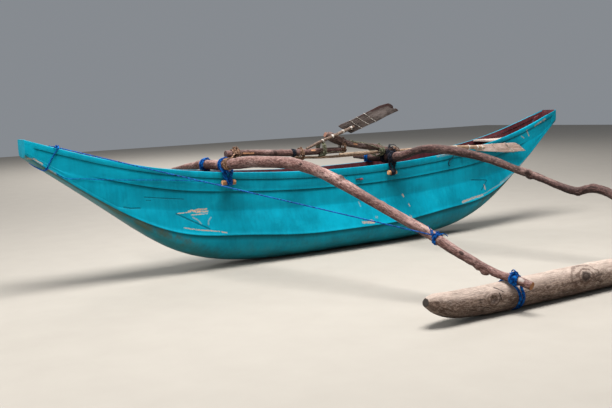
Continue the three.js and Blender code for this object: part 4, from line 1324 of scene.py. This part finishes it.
# %% Stay and bow loop
STAY_FROM, STAY_TO = np.array((-3212, -166, 1350)), np.array((-952, -2778, 546))
stay = rope("stay_line", [STAY_FROM, STAY_TO], 6, step=8)
stay.data.shade_smooth()
stands_for(stay, ["stay"], "blue_rope")

middle, ahead, radius = at_boom(BOW_BOOM, -2774)
lines = [(winding(middle, (0.2, -1, -0.48), radius + 5, radius + 5, 4, 10, 3), 5),
    (winding(middle, (0.5, -1, -0.3), radius + 10, radius + 10, 1.6, 14, 4), 5)]
knot = np.array((-922, -2772, 562))
lines.append((knot_line(knot + (-30, 10, 4), 20, 7), 5))
lines.append((knot_line(knot + (14, -6, 0), 15, 9), 4.6))
lines.append((np.array([knot, knot + (36, -10, -12), knot + (70, -14, -14), knot + (112, -18, -40)]), 4.4))
lines.append((np.array([knot + (-30, 10, 4), knot + (-46, 14, 32), knot + (-62, 18, 66)]), 4.6))
lashing("ropes_stay", lines, ["stay_lashing"], "blue_rope")

# The thin line hangs close along the windward side, from the bow loop to the first toggle
THIN_LINE = [(-3170, 1067), (-3020, 1044), (-2872, 1028), (-2647, 1004), (-2446, 988), (-2200, 968),
    (-1989, 946), (-1800, 918), (-1625, 880)]
line = [(x, -(hull_value(x, "top") + 4), z) for x, z in THIN_LINE]
thin = rope("thin_line", [(-3245, -140, 1120), *line, (-1590, -292, 872)], 3.4, step=7)
thin.data.shade_smooth()
stands_for(thin, [], "blue_rope")

# The loop falls straight to the chine, passes forward under the stem and comes up to leeward
LOOP_TOP, LOOP_FOOT, LOOP_UNDER, LOOP_FRONT = -3212, -3316, -3366, -3412
upper, lower, front = (hull_at(x) for x in (LOOP_TOP, LOOP_FOOT, LOOP_FRONT))


def down_the_side(foot_x, hand):
    """Places from the rim to the chine, straight or as far out as the side needs."""
    side = []
    for share in np.linspace(0, 1, 7):
        x = LOOP_TOP + (foot_x - LOOP_TOP) * share
        h, foot = hull_at(x), hull_at(foot_x)
        y = (1 - share) * (h["top"][0] + 5) + share * (foot["bilge"][0] + 3)
        z = (1 - share) * (h["rim"][0] - 12) + share * (foot["chine"][0] - 2)
        side.append((x, hand * y, z))
    return side


over = [(LOOP_TOP + 6, -hand_y, z) for hand_y, z in ((40, upper["rim"][0] - 4), (-40, upper["rim"][0] - 4))]
lip = (LOOP_TOP + 3, upper["top"][0] - 8, upper["rim"][0] + 5)
loop = [*over, lip, *down_the_side(LOOP_FRONT, 1),
    (LOOP_FRONT + 12, 0.75 * front["bilge"][0], front["keel"][0] - 2)]
loop += [(LOOP_UNDER, 0, hull_value(LOOP_UNDER, "keel") - 6),
    (LOOP_FOOT - 8, -0.75 * lower["bilge"][0], lower["keel"][0] + 8)]
loop += [*down_the_side(LOOP_FOOT, -1)[::-1], (lip[0], -lip[1], lip[2]), over[0]]
lines = [(np.array([[float(np.ravel(c)[0]) for c in p] for p in loop]), 6)]
tie = np.array((LOOP_TOP - 2, -upper["top"][0] + 4, upper["rim"][0] + 8), float)
lines += [(knot_line(tie, 24, 12), 4.8), (knot_line(tie + (8, 10, 4), 18, 13), 4.6)]
lines.append((knot_line((LOOP_FOOT - 4, -lower["bilge"][0] - 4, lower["chine"][0] - 6), 15, 14), 4.6))
lines.append((np.array([tie, tie + (-26, 30, 10), tie + (-44, 66, 2)]), 4.4))
lashing("bow_rope", lines, ["bow_loop"], "blue_rope")

# %% [markdown]
# ### Small ties and tails
# The paddles' boards are tied on with white cotton string, wound round each pole and strapped across
# the board. A strap is one closed turn over a flat board, so its line runs down the front, round the
# lower edge and up the back. Odd ends of rope were left where they fell, along the spar and the rim.

# %% Ties, straps and tails
def strap(name, top, foot, y, thick, radius=2.1):
    """One turn of string round a flat board, between two places on its edges given as x and z."""
    top, foot = np.array((top[0], 0, top[1]), float), np.array((foot[0], 0, foot[1]), float)
    out, off = 4 * unit(foot - top), thick / 2 + radius
    run = [(top + (foot - top) * share, -off) for share in (0, 0.3, 0.7, 1)]
    turn = [*run, (foot + out, 0), *[(p, off) for p, _ in run[::-1]], (top - out, 0), run[0]]
    return rope(name, [p + (0, y + shift, 0) for p, shift in turn], radius)


def string_ties(name, rows, places):
    """Short windings of string round a pole at places along the hull."""
    points = resampled(rows, 6)
    made = []
    for k, x in enumerate(places):
        i = int(np.argmin(np.abs(points[:, 0] - x)))
        ahead = points[i + 1, :3] - points[i - 1, :3]
        line = winding(points[i, :3], ahead, points[i, 3] + 2, points[i, 3] + 2, 3.2, 4.6, 40 + k)
        made.append(rope(f"{name}_{k}", line, 2.3, even=True))
    return made


RAISED_STRAPS = [((39, 1449), (196, 1353)), ((132, 1482), (302, 1388)), ((238, 1519), (397, 1418))]
STOWED_STRAPS = [((2398, 1057), (2546, 933)), ((2414, 1057), (2560, 933)), ((2650, 1022), (2725, 937)),
    ((2182, 1060), (2267, 955))]
for name, rows, places, straps, y, thick in (
    ("raised_strings", RAISED_POLE, (-351, -216, -76, 36), RAISED_STRAPS, -235, 15),
    ("stowed_strings", STOWED_POLE, (1563, 1758, 1897, 1977), STOWED_STRAPS, -250, 14),
):
    made = string_ties(name, rows, places)
    made += [strap(f"{name}_strap_{k}", top, foot, y, thick) for k, (top, foot) in enumerate(straps)]
    if name == "raised_strings":
        made.append(rope("raised_knot", knot_line((244, -247, 1514), 8, 6), 2.2))
    piece = joined(name, made)
    piece.data.shade_smooth()
    stands_for(piece, [], "green_rope")

lashing("green_line", [
    (np.array([(40, -206, 1236), (87, -238, 1207), (140, -242, 1200), (198, -242, 1192), (281, -243, 1170),
        (350, -244, 1146), (420, -244, 1120)]), 4.6),
    (np.array([(60, -226, 1226), (110, -236, 1210), (170, -236, 1202), (240, -238, 1186),
        (300, -240, 1162)]), 4),
    (np.array([(-340, -238, 1120), (-260, -242, 1112), (-180, -240, 1118), (-110, -238, 1112),
        (-60, -242, 1106)]), 3.6),
], [], "green_rope")
lashing("branch_loops", [
    (winding((668, -200, 1082), (1, 0.5, 0), 37, 37, 2.2, 13, 51), 4.4),
    (np.array([(640, -236, 1096), (664, -252, 1112), (700, -254, 1104), (716, -246, 1078),
        (690, -240, 1066)]), 4.2),
], [], "brown_rope")
rim_x = 1500
beside = hull_value(rim_x, "top")
lashing("rim_tail", [
    (np.array([(rim_x + 60, -(beside - 28), 996), (rim_x + 52, -(beside - 10), 1003),
        (rim_x + 42, -(beside + 6), 975), (rim_x + 14, -(beside + 7), 930),
        (rim_x - 24, -(beside + 3), 899), (rim_x - 42, -(beside + 2), 866),
        (rim_x - 24, -(beside + 2), 836)]), 4.6),
], [], "black_rope")
lashing("rim_knot", [(knot_line((1668, -(hull_value(1668, "top") + 12), 948), 22, 15), 8)], [],
    "brown_rope")

# %% [markdown]
# ## Turquoise gelcoat
# The hull is moulded in coloured gelcoat, which weathers to a chalky, cloudy turquoise with a soft
# shine. Painted shade darkens it below the rim, the strake and the chine ledge, and it grows darker
# towards the bottom. The stems are scraped to the tan laminate, and a few scuffs and creases cross
# the side, with painted shade along the creases. The mesh keeps three values for this: groove,
# wear and low.

# %% Marks on the windward side
# kind, width, then the places it runs through (x and z in metres): scrapes show tan laminate,
# faint ones are half worn through and creases carry painted shade
MARKS = [
    ("scrape", 0.013, (-1.969, 0.628), (-1.935, 0.639), (-1.884, 0.619), (-1.819, 0.618), (-1.765, 0.613)),
    ("scrape", 0.011, (-1.892, 0.640), (-1.773, 0.639)),
    ("scrape", 0.006, (-2.087, 0.624), (-1.981, 0.623)),
    ("scrape", 0.007, (-1.942, 0.595), (-1.769, 0.592)),
    ("faint", 0.010, (-1.930, 0.569), (-1.885, 0.540), (-1.853, 0.501)),
    ("faint", 0.010, (-1.737, 0.550), (-1.770, 0.518), (-1.778, 0.479)),
    ("shaded_crease", 0.011, (-2.104, 0.623), (-1.951, 0.536), (-1.771, 0.438)),
    ("scrape", 0.008, (-2.039, 0.476), (-1.962, 0.458), (-1.879, 0.439), (-1.667, 0.401)),
    ("scrape", 0.009, (-1.646, 0.394), (-1.593, 0.380)),
    ("shaded_crease", 0.010, (-2.627, 0.738), (-2.559, 0.720), (-2.468, 0.714)),
    ("shaded_crease", 0.007, (-2.418, 0.816), (-2.337, 0.805), (-2.216, 0.786), (-2.009, 0.759)),
    ("shaded_crease", 0.005, (-2.400, 0.783), (-2.350, 0.776)),
    ("shaded_crease", 0.010, (1.840, 0.633), (2.050, 0.616), (2.101, 0.605), (1.989, 0.497)),
    ("scrape", 0.014, (2.046, 0.554), (2.053, 0.503)),
    ("scrape", 0.017, (1.632, 0.384), (1.794, 0.410), (1.993, 0.434)),
    ("faint", 0.008, (2.014, 0.445), (2.357, 0.552)),
    ("scrape", 0.015, (0.730, 0.556), (0.740, 0.536)),
    ("scrape", 0.011, (0.788, 0.442), (0.794, 0.420)),
    ("scrape", 0.011, (0.766, 0.312), (0.786, 0.302)),
    ("scrape", 0.018, (0.077, 0.308), (0.227, 0.295)), ("scrape", 0.016, (0.190, 0.318), (0.226, 0.304)),
    ("faint", 0.016, (0.276, 0.347), (0.292, 0.345)),
    ("faint", 0.012, (0.095, 0.533), (0.104, 0.487)),
    ("scrape", 0.016, (3.048, 1.240), (3.258, 1.322)),
    ("scrape", 0.012, (2.885, 1.196), (2.934, 1.115)),
    ("scrape", 0.009, (2.775, 1.124), (2.833, 1.095)),
    ("faint", 0.012, (-3.478, 1.264), (-3.421, 1.258), (-3.354, 1.204)),
    ("scrape", 0.007, (-3.430, 1.258), (-3.354, 1.212)),
    ("faint", 0.010, (-3.314, 1.160), (-3.238, 1.108)),
    ("faint", 0.020, (2.340, 0.552), (2.560, 0.650)), ("faint", 0.016, (2.600, 0.672), (2.900, 0.850)),
    ("faint", 0.024, (1.285, 0.968), (1.500, 0.987)),
    ("shaded_crease", 0.010, (-0.066, 0.838), (-0.052, 0.836)),
    ("shaded_crease", 0.008, (0.056, 0.806), (0.068, 0.804)),
]

# %% Turquoise material
def paint_turquoise():
    _, tree, shader = new_finish("turquoise gelcoat", IOR=1.46, Specular_IOR_Level=0.1)
    place = object_place(tree)
    groove_shade, wear, low = (kept(tree, key) for key in ("groove_shade", "wear", "low"))

    def shifted(value, middle, amount):
        return times(tree, reckon(tree, "SUBTRACT", value, middle), amount)

    sunned = use(tree, SUNNED, Place=place, Cloud=1.9, Runs=0.18)["Value"]
    colour = mixed(tree, ramped(tree, sunned, 0.36, 0.64), srgb(0, 116, 136), srgb(0, 146, 170))
    chalk = times(tree, ramped(tree, cloudy(tree, place, 7, detail=9, roughness=0.72), 0.52, 0.78), 0.3)
    colour = mixed(tree, chalk, colour, srgb(24, 172, 190))
    spots = ramped(tree, cloudy(tree, place, 46, detail=4, roughness=0.6), 0.62, 0.74)
    colour = stained(tree, colour, spots, 0.22, (0, 92, 112))
    patchiness = cloudy(tree, stretched(tree, place, (5, 5, 3)), 1.6, detail=8, roughness=0.66)
    # Darker towards the bottom and under the chine, in patches.
    darker_low = ramped(tree, reckon(tree, "ADD", low, shifted(patchiness, 0.5, 1.1)), 0.35, 1.25)
    colour = stained(tree, colour, darker_low, 0.8, (48, 84, 74))
    # Painted shade under the rim's lip, the strake's lap and the chine ledge.
    colour = mixed(tree, times(tree, groove_shade, 0.85, clamp=True), colour, srgb(0, 58, 62))
    ragged = shifted(cloudy(tree, place, 70, detail=6, roughness=0.75), 0.5, 2.2)
    over = {"scrape": 0.0, "faint": 0.0, "shaded_crease": 0.0}
    flat = vectors(tree, "MULTIPLY", place, (1, 0, 1))[0]
    for kind, width, *stops in MARKS:
        for (x0, z0), (x1, z1) in zip(stops, stops[1:]):
            over[kind] = use(tree, SCRATCH, Over=over[kind], Place=flat, From=(x0, 0, z0), To=(x1, 0, z1),
                Width=width, Rag=ragged)["Mask"]
    windward = reckon(tree, "LESS_THAN", put(tree, "SeparateXYZ", {0: place}).outputs["Y"], HULL_Y / 1000)
    scrape, faint, shaded_crease = (times(tree, over[kind], windward) for kind in ("scrape", "faint", "shaded_crease"))
    broken = ramped(tree, cloudy(tree, stretched(tree, place, (1, 1, 3)), 75, detail=6, roughness=0.8),
        0.42, 0.58)
    scraped = times(tree, scrape, broken)
    worn = ramped(tree, reckon(tree, "ADD", wear, shifted(patchiness, 0.5, 1.7)), 0.4, 1.0)
    flecks = ramped(tree, cloudy(tree, stretched(tree, place, (1, 1, 1.7)), 24, detail=7, roughness=0.78),
        0.73, 0.78)
    colour = mixed(tree, times(tree, worn, 0.75), colour,
        mixed(tree, patchiness, srgb(30, 52, 42), srgb(100, 94, 62)))
    tan_colour = mixed(tree, cloudy(tree, place, 40, detail=5), srgb(184, 128, 88), srgb(228, 172, 122))
    tan = reckon(tree, "MAXIMUM", scraped, times(tree, flecks, 0.6))
    tan = reckon(tree, "MAXIMUM", tan, times(tree, faint, times(tree, broken, 0.42)))
    colour = mixed(tree, tan, colour, tan_colour)
    # Painted shade along the creases.
    colour = stained(tree, colour, shaded_crease, 0.6, (0, 62, 74))
    rough = reckon(tree, "MULTIPLY_ADD", sunned, 0.28, 0.3)
    rough = reckon(tree, "MAXIMUM", rough, times(tree, reckon(tree, "MAXIMUM", tan, worn), 0.85))
    fine = cloudy(tree, place, 130, detail=4)
    broad = cloudy(tree, place, 5, detail=3)
    height = reckon(tree, "ADD", times(tree, fine, 0.12), broad)
    height = reckon(tree, "SUBTRACT", height, times(tree, shaded_crease, 0.8))
    painted(tree, shader, colour, rough, height, 0.6, 0.005)


paint_turquoise()

# %% Maroon inside
def paint_maroon():
    _, tree, shader = new_finish("maroon inside")
    place = object_place(tree)
    sunned = use(tree, SUNNED, Place=place, Cloud=4, Runs=0.5)["Value"]
    colour = mixed(tree, ramped(tree, sunned, 0.3, 0.7), srgb(66, 22, 30), srgb(104, 44, 50))
    dust = ramped(tree, cloudy(tree, place, 14, detail=8, roughness=0.7), 0.55, 0.75)
    colour = stained(tree, colour, dust, 0.4, (142, 112, 96))
    rough = reckon(tree, "ADD", times(tree, sunned, 0.25), 0.5)
    painted(tree, shader, colour, rough, cloudy(tree, place, 90, detail=3), 0.4, 0.0015)


paint_maroon()

# %% [markdown]
# ## Wood
# Four woods share the grain group. The booms are a purple-brown branch wood with paler worn patches,
# the poles are a little warmer, the float is grey driftwood, and planks and blades are sawn boards
# whose grain runs straight. Cut ends show rings, read from the straightened place.

# %% Branch and driftwood materials
def scarred(tree, colour, scars, amount):
    """Draws scars with ragged edges. Each has a shade, a width and its two ends."""
    place = object_place(tree)
    rag = reckon(tree, "SUBTRACT", cloudy(tree, place, 60, detail=5, roughness=0.7), 0.5)
    for shade, width, start, end in scars:
        mark = use(tree, SCRATCH, Place=place, From=start, To=end, Width=width, Rag=rag)["Mask"]
        colour = stained(tree, colour, mark, amount, shade)
    return colour


def wooden(name, dark, mid, pale, fineness, length, cracks, patches, end_colours, roughness=0.72,
        depth=0.0025, scars=(), rings_at=(), bleached_and_lit=0, under=0):
    """A rod's wood: streaky grain, pale worn patches, dark cracks and ringed ends, then its scars.

    Bleached says how much paler the top is than the sides, by sun bleaching and painted light, and under
    how much painted shade darkens the underside."""
    material, tree, shader = new_finish(name, IOR=1.42, Specular_IOR_Level=0.3)
    place = kept(tree, "straight", "Vector")
    grain = use(tree, GRAIN, Place=place, Fineness=fineness, Length=length, Cracks=cracks)
    colour = mixed(tree, ramped(tree, grain["Streak"], 0.34, 0.62), srgb(*dark), srgb(*mid))
    cloud = cloudy(tree, stretched(tree, place, (0.35, 1, 1)), patches, detail=7, roughness=0.7)
    colour = mixed(tree, ramped(tree, cloud, 0.5, 0.68), colour, srgb(*pale))
    mottle = cloudy(tree, stretched(tree, place, (0.35, 1, 1)), 85, detail=6, roughness=0.8)
    colour = stained(tree, colour, ramped(tree, mottle, 0.51, 0.6), 0.5, pale)
    colour = stained(tree, colour, ramped(tree, mottle, 0.49, 0.41), 0.8, dark)
    stain = cloudy(tree, stretched(tree, place, (0.5, 1, 1)), patches * 0.6, detail=5, roughness=0.6)
    colour = stained(tree, colour, ramped(tree, stain, 0.52, 0.7), 0.6, dark)
    colour = stained(tree, colour, grain["Crack"], 0.8, [c * 0.35 for c in dark])
    # Paler tops by sun bleaching and painted light, and painted shade on the undersides.
    if bleached_and_lit or under:
        upward = put(tree, "SeparateXYZ", {0: put(tree, "TexCoord").outputs["Normal"]}).outputs["Z"]
        colour = stained(tree, colour, ramped(tree, upward, 0.2, 0.9), bleached_and_lit, pale)
        colour = stained(tree, colour, ramped(tree, upward, 0.1, -0.6), under, [c * 0.55 for c in dark])
    for centre, size in rings_at:
        knot = use(tree, KNOT, Place=object_place(tree), Centre=centre, Size=size)
        colour = stained(tree, colour, knot["Rings"], 0.7, dark)
        colour = stained(tree, colour, knot["Core"], 0.8, [c * 0.5 for c in dark])
    colour = scarred(tree, colour, scars, 0.9)
    cut = kept(tree, "cut")
    across = vectors(tree, "MULTIPLY", place, (0, 1, 1))[0]
    ring = vectors(tree, "LENGTH", across)[1]
    wander = times(tree, cloudy(tree, place, 30, detail=3), 0.012)
    rings = reckon(tree, "SINE", times(tree, reckon(tree, "ADD", ring, wander), 1500))
    fresh = mixed(tree, reckon(tree, "MULTIPLY_ADD", rings, 0.5, 0.5), srgb(*end_colours[0]),
        srgb(*end_colours[1]))
    colour = mixed(tree, cut, colour, fresh)
    rough = reckon(tree, "MULTIPLY_ADD", grain["Streak"], 0.25, roughness - 0.12)
    painted(tree, shader, colour, rough, grain["Height"], 0.8, depth)
    return material


def finish(piece, material):
    piece.data.materials.clear()
    piece.data.materials.append(material)


SCAR, DARK = (206, 150, 112), (46, 28, 24)
# shade, width and both ends of each scar, metres in the part's frame
BOW_SCARS = [
    (DARK, 0.034, (-1.190, -0.450, 1.050), (-1.150, -0.480, 1.000)),
    (SCAR, 0.022, (-1.172, -0.470, 1.052), (-1.160, -0.490, 1.030)),
    ((176, 164, 156), 0.024, (-0.748, -2.196, 0.262), (-0.738, -2.214, 0.250)),
    (DARK, 0.020, (-0.728, -2.236, 0.232), (-0.722, -2.262, 0.210)),
    (DARK, 0.024, (-0.893, -1.691, 0.440), (-0.884, -1.700, 0.420)),
    (DARK, 0.018, (-1.360, 0.020, 1.110), (-1.310, -0.020, 1.100)),
]
STERN_SCARS = [
    (DARK, 0.034, (0.940, -0.668, 0.880), (0.946, -0.672, 0.870)),
    (DARK, 0.030, (1.084, -1.180, 0.668), (1.096, -1.172, 0.660)),
    (DARK, 0.024, (0.790, -0.010, 1.060), (0.800, -0.006, 1.050)),
    (SCAR, 0.012, (0.936, -0.650, 0.890), (0.930, -0.640, 0.896)),
]
SPAR_SCARS = [
    (DARK, 0.022, (-1.316, 1.108, 1.166), (-1.186, 1.108, 1.160)),
    (SCAR, 0.015, (-1.310, 1.104, 1.170), (-1.190, 1.104, 1.164)),
    (DARK, 0.032, (-0.936, 1.106, 1.172), (-0.926, 1.106, 1.140)),
    (SCAR, 0.014, (-0.470, 1.108, 1.152), (-0.430, 1.108, 1.150)),
]
CROOKED_SCARS = [(SCAR, 0.012, (0.092, 1.098, 1.186), (0.130, 1.098, 1.180)),
    (DARK, 0.024, (-0.036, 1.098, 1.208), (-0.026, 1.098, 1.196))]
FLOAT_SCARS = [
    ((24, 18, 16), 0.009, (-0.926, -2.098, 0.212), (-0.868, -2.131, 0.178)),
    ((30, 22, 20), 0.008, (-0.912, -2.140, 0.178), (-0.904, -2.148, 0.130)),
]
FLOAT_RINGS = [((-0.976, -2.147, 0.138), 0.075), ((0.053, -2.140, 0.165), 0.19),
    ((0.520, -2.140, 0.090), 0.11), ((1.600, -2.137, 0.120), 0.08)]
BOW_RINGS = [((-1.167, -0.457, 1.040), 0.06), ((-0.960, -1.230, 0.620), 0.05),
    ((-1.317, -0.010, 1.100), 0.06)]
STERN_RINGS = [((0.950, -0.668, 0.870), 0.06), ((1.091, -1.175, 0.670), 0.06),
    ((0.700, 0.520, 1.100), 0.05)]
boom_wood = wooden("purple-brown branch", (62, 36, 33), (134, 98, 90), (180, 149, 140), 60, 0.10, 0.9, 9,
    ((120, 78, 50), (168, 116, 74)), scars=BOW_SCARS, rings_at=BOW_RINGS, bleached_and_lit=0.12, under=0.6)
stern_wood = wooden("dark branch", (34, 22, 20), (80, 52, 48), (138, 110, 102), 60, 0.10, 0.9, 9,
    ((110, 76, 56), (150, 110, 80)), scars=STERN_SCARS, rings_at=STERN_RINGS, bleached_and_lit=0.12, under=0.6)
spar_wood = wooden("brown pole wood", (62, 38, 34), (102, 72, 66), (152, 124, 118), 70, 0.12, 0.8, 9,
    ((70, 34, 32), (124, 108, 104)), scars=SPAR_SCARS, bleached_and_lit=0.1, under=0.5)
crooked_wood = wooden("dark crooked wood", (42, 27, 23), (104, 80, 70), (156, 132, 128), 70, 0.12, 1.0, 9,
    ((124, 88, 74), (156, 116, 98)), scars=CROOKED_SCARS, under=0.5)
stick_wood = wooden("pale stick", (120, 100, 82), (170, 148, 124), (196, 176, 152), 90, 0.08, 0.4, 9,
    ((150, 120, 90), (184, 154, 116)))
stowed_wood = wooden("pale pole wood", (112, 86, 66), (172, 142, 118), (208, 182, 158), 90, 0.06, 0.8, 9,
    ((120, 92, 70), (170, 140, 112)))
pole_wood = wooden("grey pole wood", (66, 50, 42), (112, 92, 80), (150, 132, 116), 90, 0.06, 0.8, 9,
    ((90, 66, 50), (140, 112, 86)))
float_wood = wooden("grey driftwood", (84, 64, 54), (148, 126, 112), (196, 177, 163), 34, 0.10, 1.2, 5,
    ((46, 40, 38), (78, 70, 64)), depth=0.006, scars=FLOAT_SCARS, rings_at=FLOAT_RINGS, bleached_and_lit=0.55,
    under=0.55)
toggle_wood = wooden("orange-tan billet", (120, 78, 50), (172, 122, 82), (200, 152, 108), 80, 0.10, 0.5, 12,
    ((206, 150, 104), (228, 176, 128)))
for name, material in (("bow_branch", boom_wood), ("stern_branch", stern_wood), ("long_pole", spar_wood),
        ("crooked_branch", crooked_wood), ("pale_stick", stick_wood), ("raised_handle", pole_wood),
        ("stowed_handle", stowed_wood), ("driftwood_float", float_wood)):
    finish(bpy.data.objects[name], material)
for place in CROSSINGS:
    finish(bpy.data.objects[f"billet_{place}"], toggle_wood)

# %% Sawn boards
def sawn(name, dark, mid, pale, turn=(0, 0, 0), edges=(), cracks=0.8):
    """A weathered board whose grain runs along X once turned, with dark marks along its edges."""
    material, tree, shader = new_finish(name, IOR=1.42, Specular_IOR_Level=0.25)
    place = put(tree, "Mapping", {"Vector": object_place(tree), "Rotation": turn}).outputs[0]
    grain = use(tree, GRAIN, Place=place, Fineness=75, Length=0.06, Cracks=cracks)
    colour = mixed(tree, ramped(tree, grain["Streak"], 0.34, 0.62), srgb(*dark), srgb(*mid))
    cloud = cloudy(tree, stretched(tree, place, (0.4, 1, 1)), 7, detail=7, roughness=0.65)
    colour = mixed(tree, ramped(tree, cloud, 0.48, 0.72), colour, srgb(*pale))
    colour = scarred(tree, colour, edges, 0.85)
    colour = stained(tree, colour, grain["Crack"], 0.8, [c * 0.4 for c in dark])
    rough = reckon(tree, "MULTIPLY_ADD", grain["Streak"], 0.2, 0.65)
    painted(tree, shader, colour, rough, grain["Height"], 0.8, 0.002)
    return material


# shade, width and both ends of the dark, ragged upper edge of the raised blade
RAISED_EDGES = [
    ((58, 34, 30), 0.016, (0.150, 1.098, 1.490), (0.345, 1.098, 1.556)),
    ((52, 30, 28), 0.030, (0.345, 1.098, 1.556), (0.560, 1.098, 1.614)),
    ((52, 30, 28), 0.034, (0.560, 1.098, 1.614), (0.650, 1.098, 1.580)),
    ((60, 36, 30), 0.016, (0.690, 1.098, 1.560), (0.722, 1.098, 1.535)),
    ((60, 40, 34), 0.010, (-0.110, 1.098, 1.396), (0.050, 1.098, 1.450)),
]
raised = sawn("weathered grey board", (56, 47, 44), (96, 85, 80), (122, 112, 108),
    turn=(0, math.radians(22), 0), edges=RAISED_EDGES, cracks=1.2)
finish(bpy.data.objects["raised_blade"], raised)
finish(bpy.data.objects["stowed_blade"], sawn("pale board", (158, 128, 112), (204, 178, 166),
    (224, 204, 194), turn=(0, math.radians(-4), 0), cracks=0.3))
across_grain = sawn("pale plank", (150, 128, 118), (196, 176, 164), (214, 200, 188),
    turn=(0, 0, math.radians(90)), cracks=0.5)
for place in ("bow", "stern"):
    finish(bpy.data.objects[f"seat_{place}"], across_grain)

# %% Rope materials
def roped(name, dark, mid, pale, roughness=0.6):
    material, tree, shader = new_finish(name, IOR=1.48, Specular_IOR_Level=0.12)
    place = kept(tree, "straight", "Vector")
    fibres = cloudy(tree, stretched(tree, place, (0.25, 1, 1)), 900, detail=3, roughness=0.6)
    fade = cloudy(tree, object_place(tree), 55, detail=5, roughness=0.65)
    colour = mixed(tree, ramped(tree, fade, 0.5, 0.62), srgb(*mid), srgb(*pale))
    colour = mixed(tree, ramped(tree, fade, 0.48, 0.38), colour, srgb(*dark))
    colour = stained(tree, colour, ramped(tree, fibres, 0.45, 0.3), 0.5, dark)
    rough = reckon(tree, "MULTIPLY_ADD", fibres, 0.3, roughness - 0.15)
    painted(tree, shader, colour, rough, fibres, 0.6, 0.0006)
    return material


ROPES = {
    "blue_rope": roped("blue rope", (0, 24, 58), (0, 68, 140), (0, 108, 186)),
    "black_rope": roped("black rope", (6, 8, 16), (20, 24, 34), (44, 48, 60)),
    "brown_rope": roped("coir rope", (56, 38, 28), (108, 80, 62), (168, 136, 116), roughness=0.8),
    "green_rope": roped("green rope", (40, 34, 24), (84, 86, 66), (150, 148, 126)),
}
white_string = roped("white string", (132, 124, 116), (204, 196, 186), (230, 225, 218), roughness=0.75)
for piece in bpy.data.objects:
    if piece.get("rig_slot") in ROPES:
        finish(piece, white_string if piece.name.endswith("strings") else ROPES[piece["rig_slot"]])

# %% Peg
for name, shade in (("black plastic", (20, 20, 24)), ("red plastic", (110, 24, 30))):
    material, tree, shader = new_finish(name)
    place = object_place(tree)
    cloud = cloudy(tree, place, 40, detail=5)
    tree.links.new(mixed(tree, cloud, srgb(*shade), srgb(*(min(255, c * 1.4 + 12) for c in shade))),
        shader.inputs["Base Color"])
    tree.links.new(reckon(tree, "MULTIPLY_ADD", cloud, 0.3, 0.3), shader.inputs["Roughness"])

# %% [markdown]
# ## Floor, light and camera
# The boat stands on a plain pale floor under soft light: a wide softbox overhead, a weaker one from
# the viewer's left, and pale light all round. The camera stands 1.65 m above the floor, close to the
# bow, and looks slightly down.

# %% Floor
floor = added("floor", bpy.ops.mesh.primitive_plane_add, size=60, location=(0, 0, 0))
material, tree, shader = new_finish("pale floor", Roughness=0.9)
grains = cloudy(tree, object_place(tree), 3, detail=3)
tree.links.new(mixed(tree, grains, srgb(156, 149, 139), srgb(164, 157, 147)), shader.inputs["Base Color"])
finish(floor, material)

# %% Light
world = bpy.data.worlds.new("soft surround")
bpy.context.scene.world = world
world.use_nodes = True
world.node_tree.nodes["Background"].inputs["Color"].default_value = (0.86, 0.92, 1.0, 1)
world.node_tree.nodes["Background"].inputs["Strength"].default_value = 0.28


def softbox(name, place, aim, size, watts):
    light = bpy.data.lights.new(name, "AREA")
    light.shape, light.size, light.energy = "DISK", size, watts
    lamp = bpy.data.objects.new(name, light)
    bpy.context.scene.collection.objects.link(lamp)
    lamp.location = place
    lamp.rotation_euler = (Vector(aim) - Vector(place)).to_track_quat("-Z", "Y").to_euler()
    return lamp


softbox("overhead", (-0.4, -0.8, 9.5), (-0.2, 0.6, 0.4), 6, 1950)
softbox("viewer's left", (-9, -0.5, 3), (0, 0.8, 0.8), 4, 300)
softbox("far floor", (5, 15, 9), (4, 13, 0), 10, 1500)
bpy.context.scene.view_settings.view_transform = "Standard"

# %% Camera
YAW, PITCH, ROLL = (math.radians(a) for a in (31.867, 6.680, -2.449))
EYE = Vector((-5.438, -6.7156, 1.649))
ahead = Vector((math.sin(YAW) * math.cos(PITCH), math.cos(YAW) * math.cos(PITCH), -math.sin(PITCH)))
right = Vector((math.cos(YAW), -math.sin(YAW), 0))
upward = right.cross(ahead)
turned = math.cos(ROLL) * right + math.sin(ROLL) * upward, -math.sin(ROLL) * right + math.cos(ROLL) * upward
lens = bpy.data.cameras.new("camera")
lens.lens, lens.sensor_width, lens.sensor_fit = 50.0, 36.0, "HORIZONTAL"
camera = bpy.data.objects.new("camera", lens)
bpy.context.scene.collection.objects.link(camera)
camera.matrix_world = Matrix((
    (turned[0].x, turned[1].x, -ahead.x, EYE.x),
    (turned[0].y, turned[1].y, -ahead.y, EYE.y),
    (turned[0].z, turned[1].z, -ahead.z, EYE.z),
    (0, 0, 0, 1),
))
bpy.context.scene.camera = camera
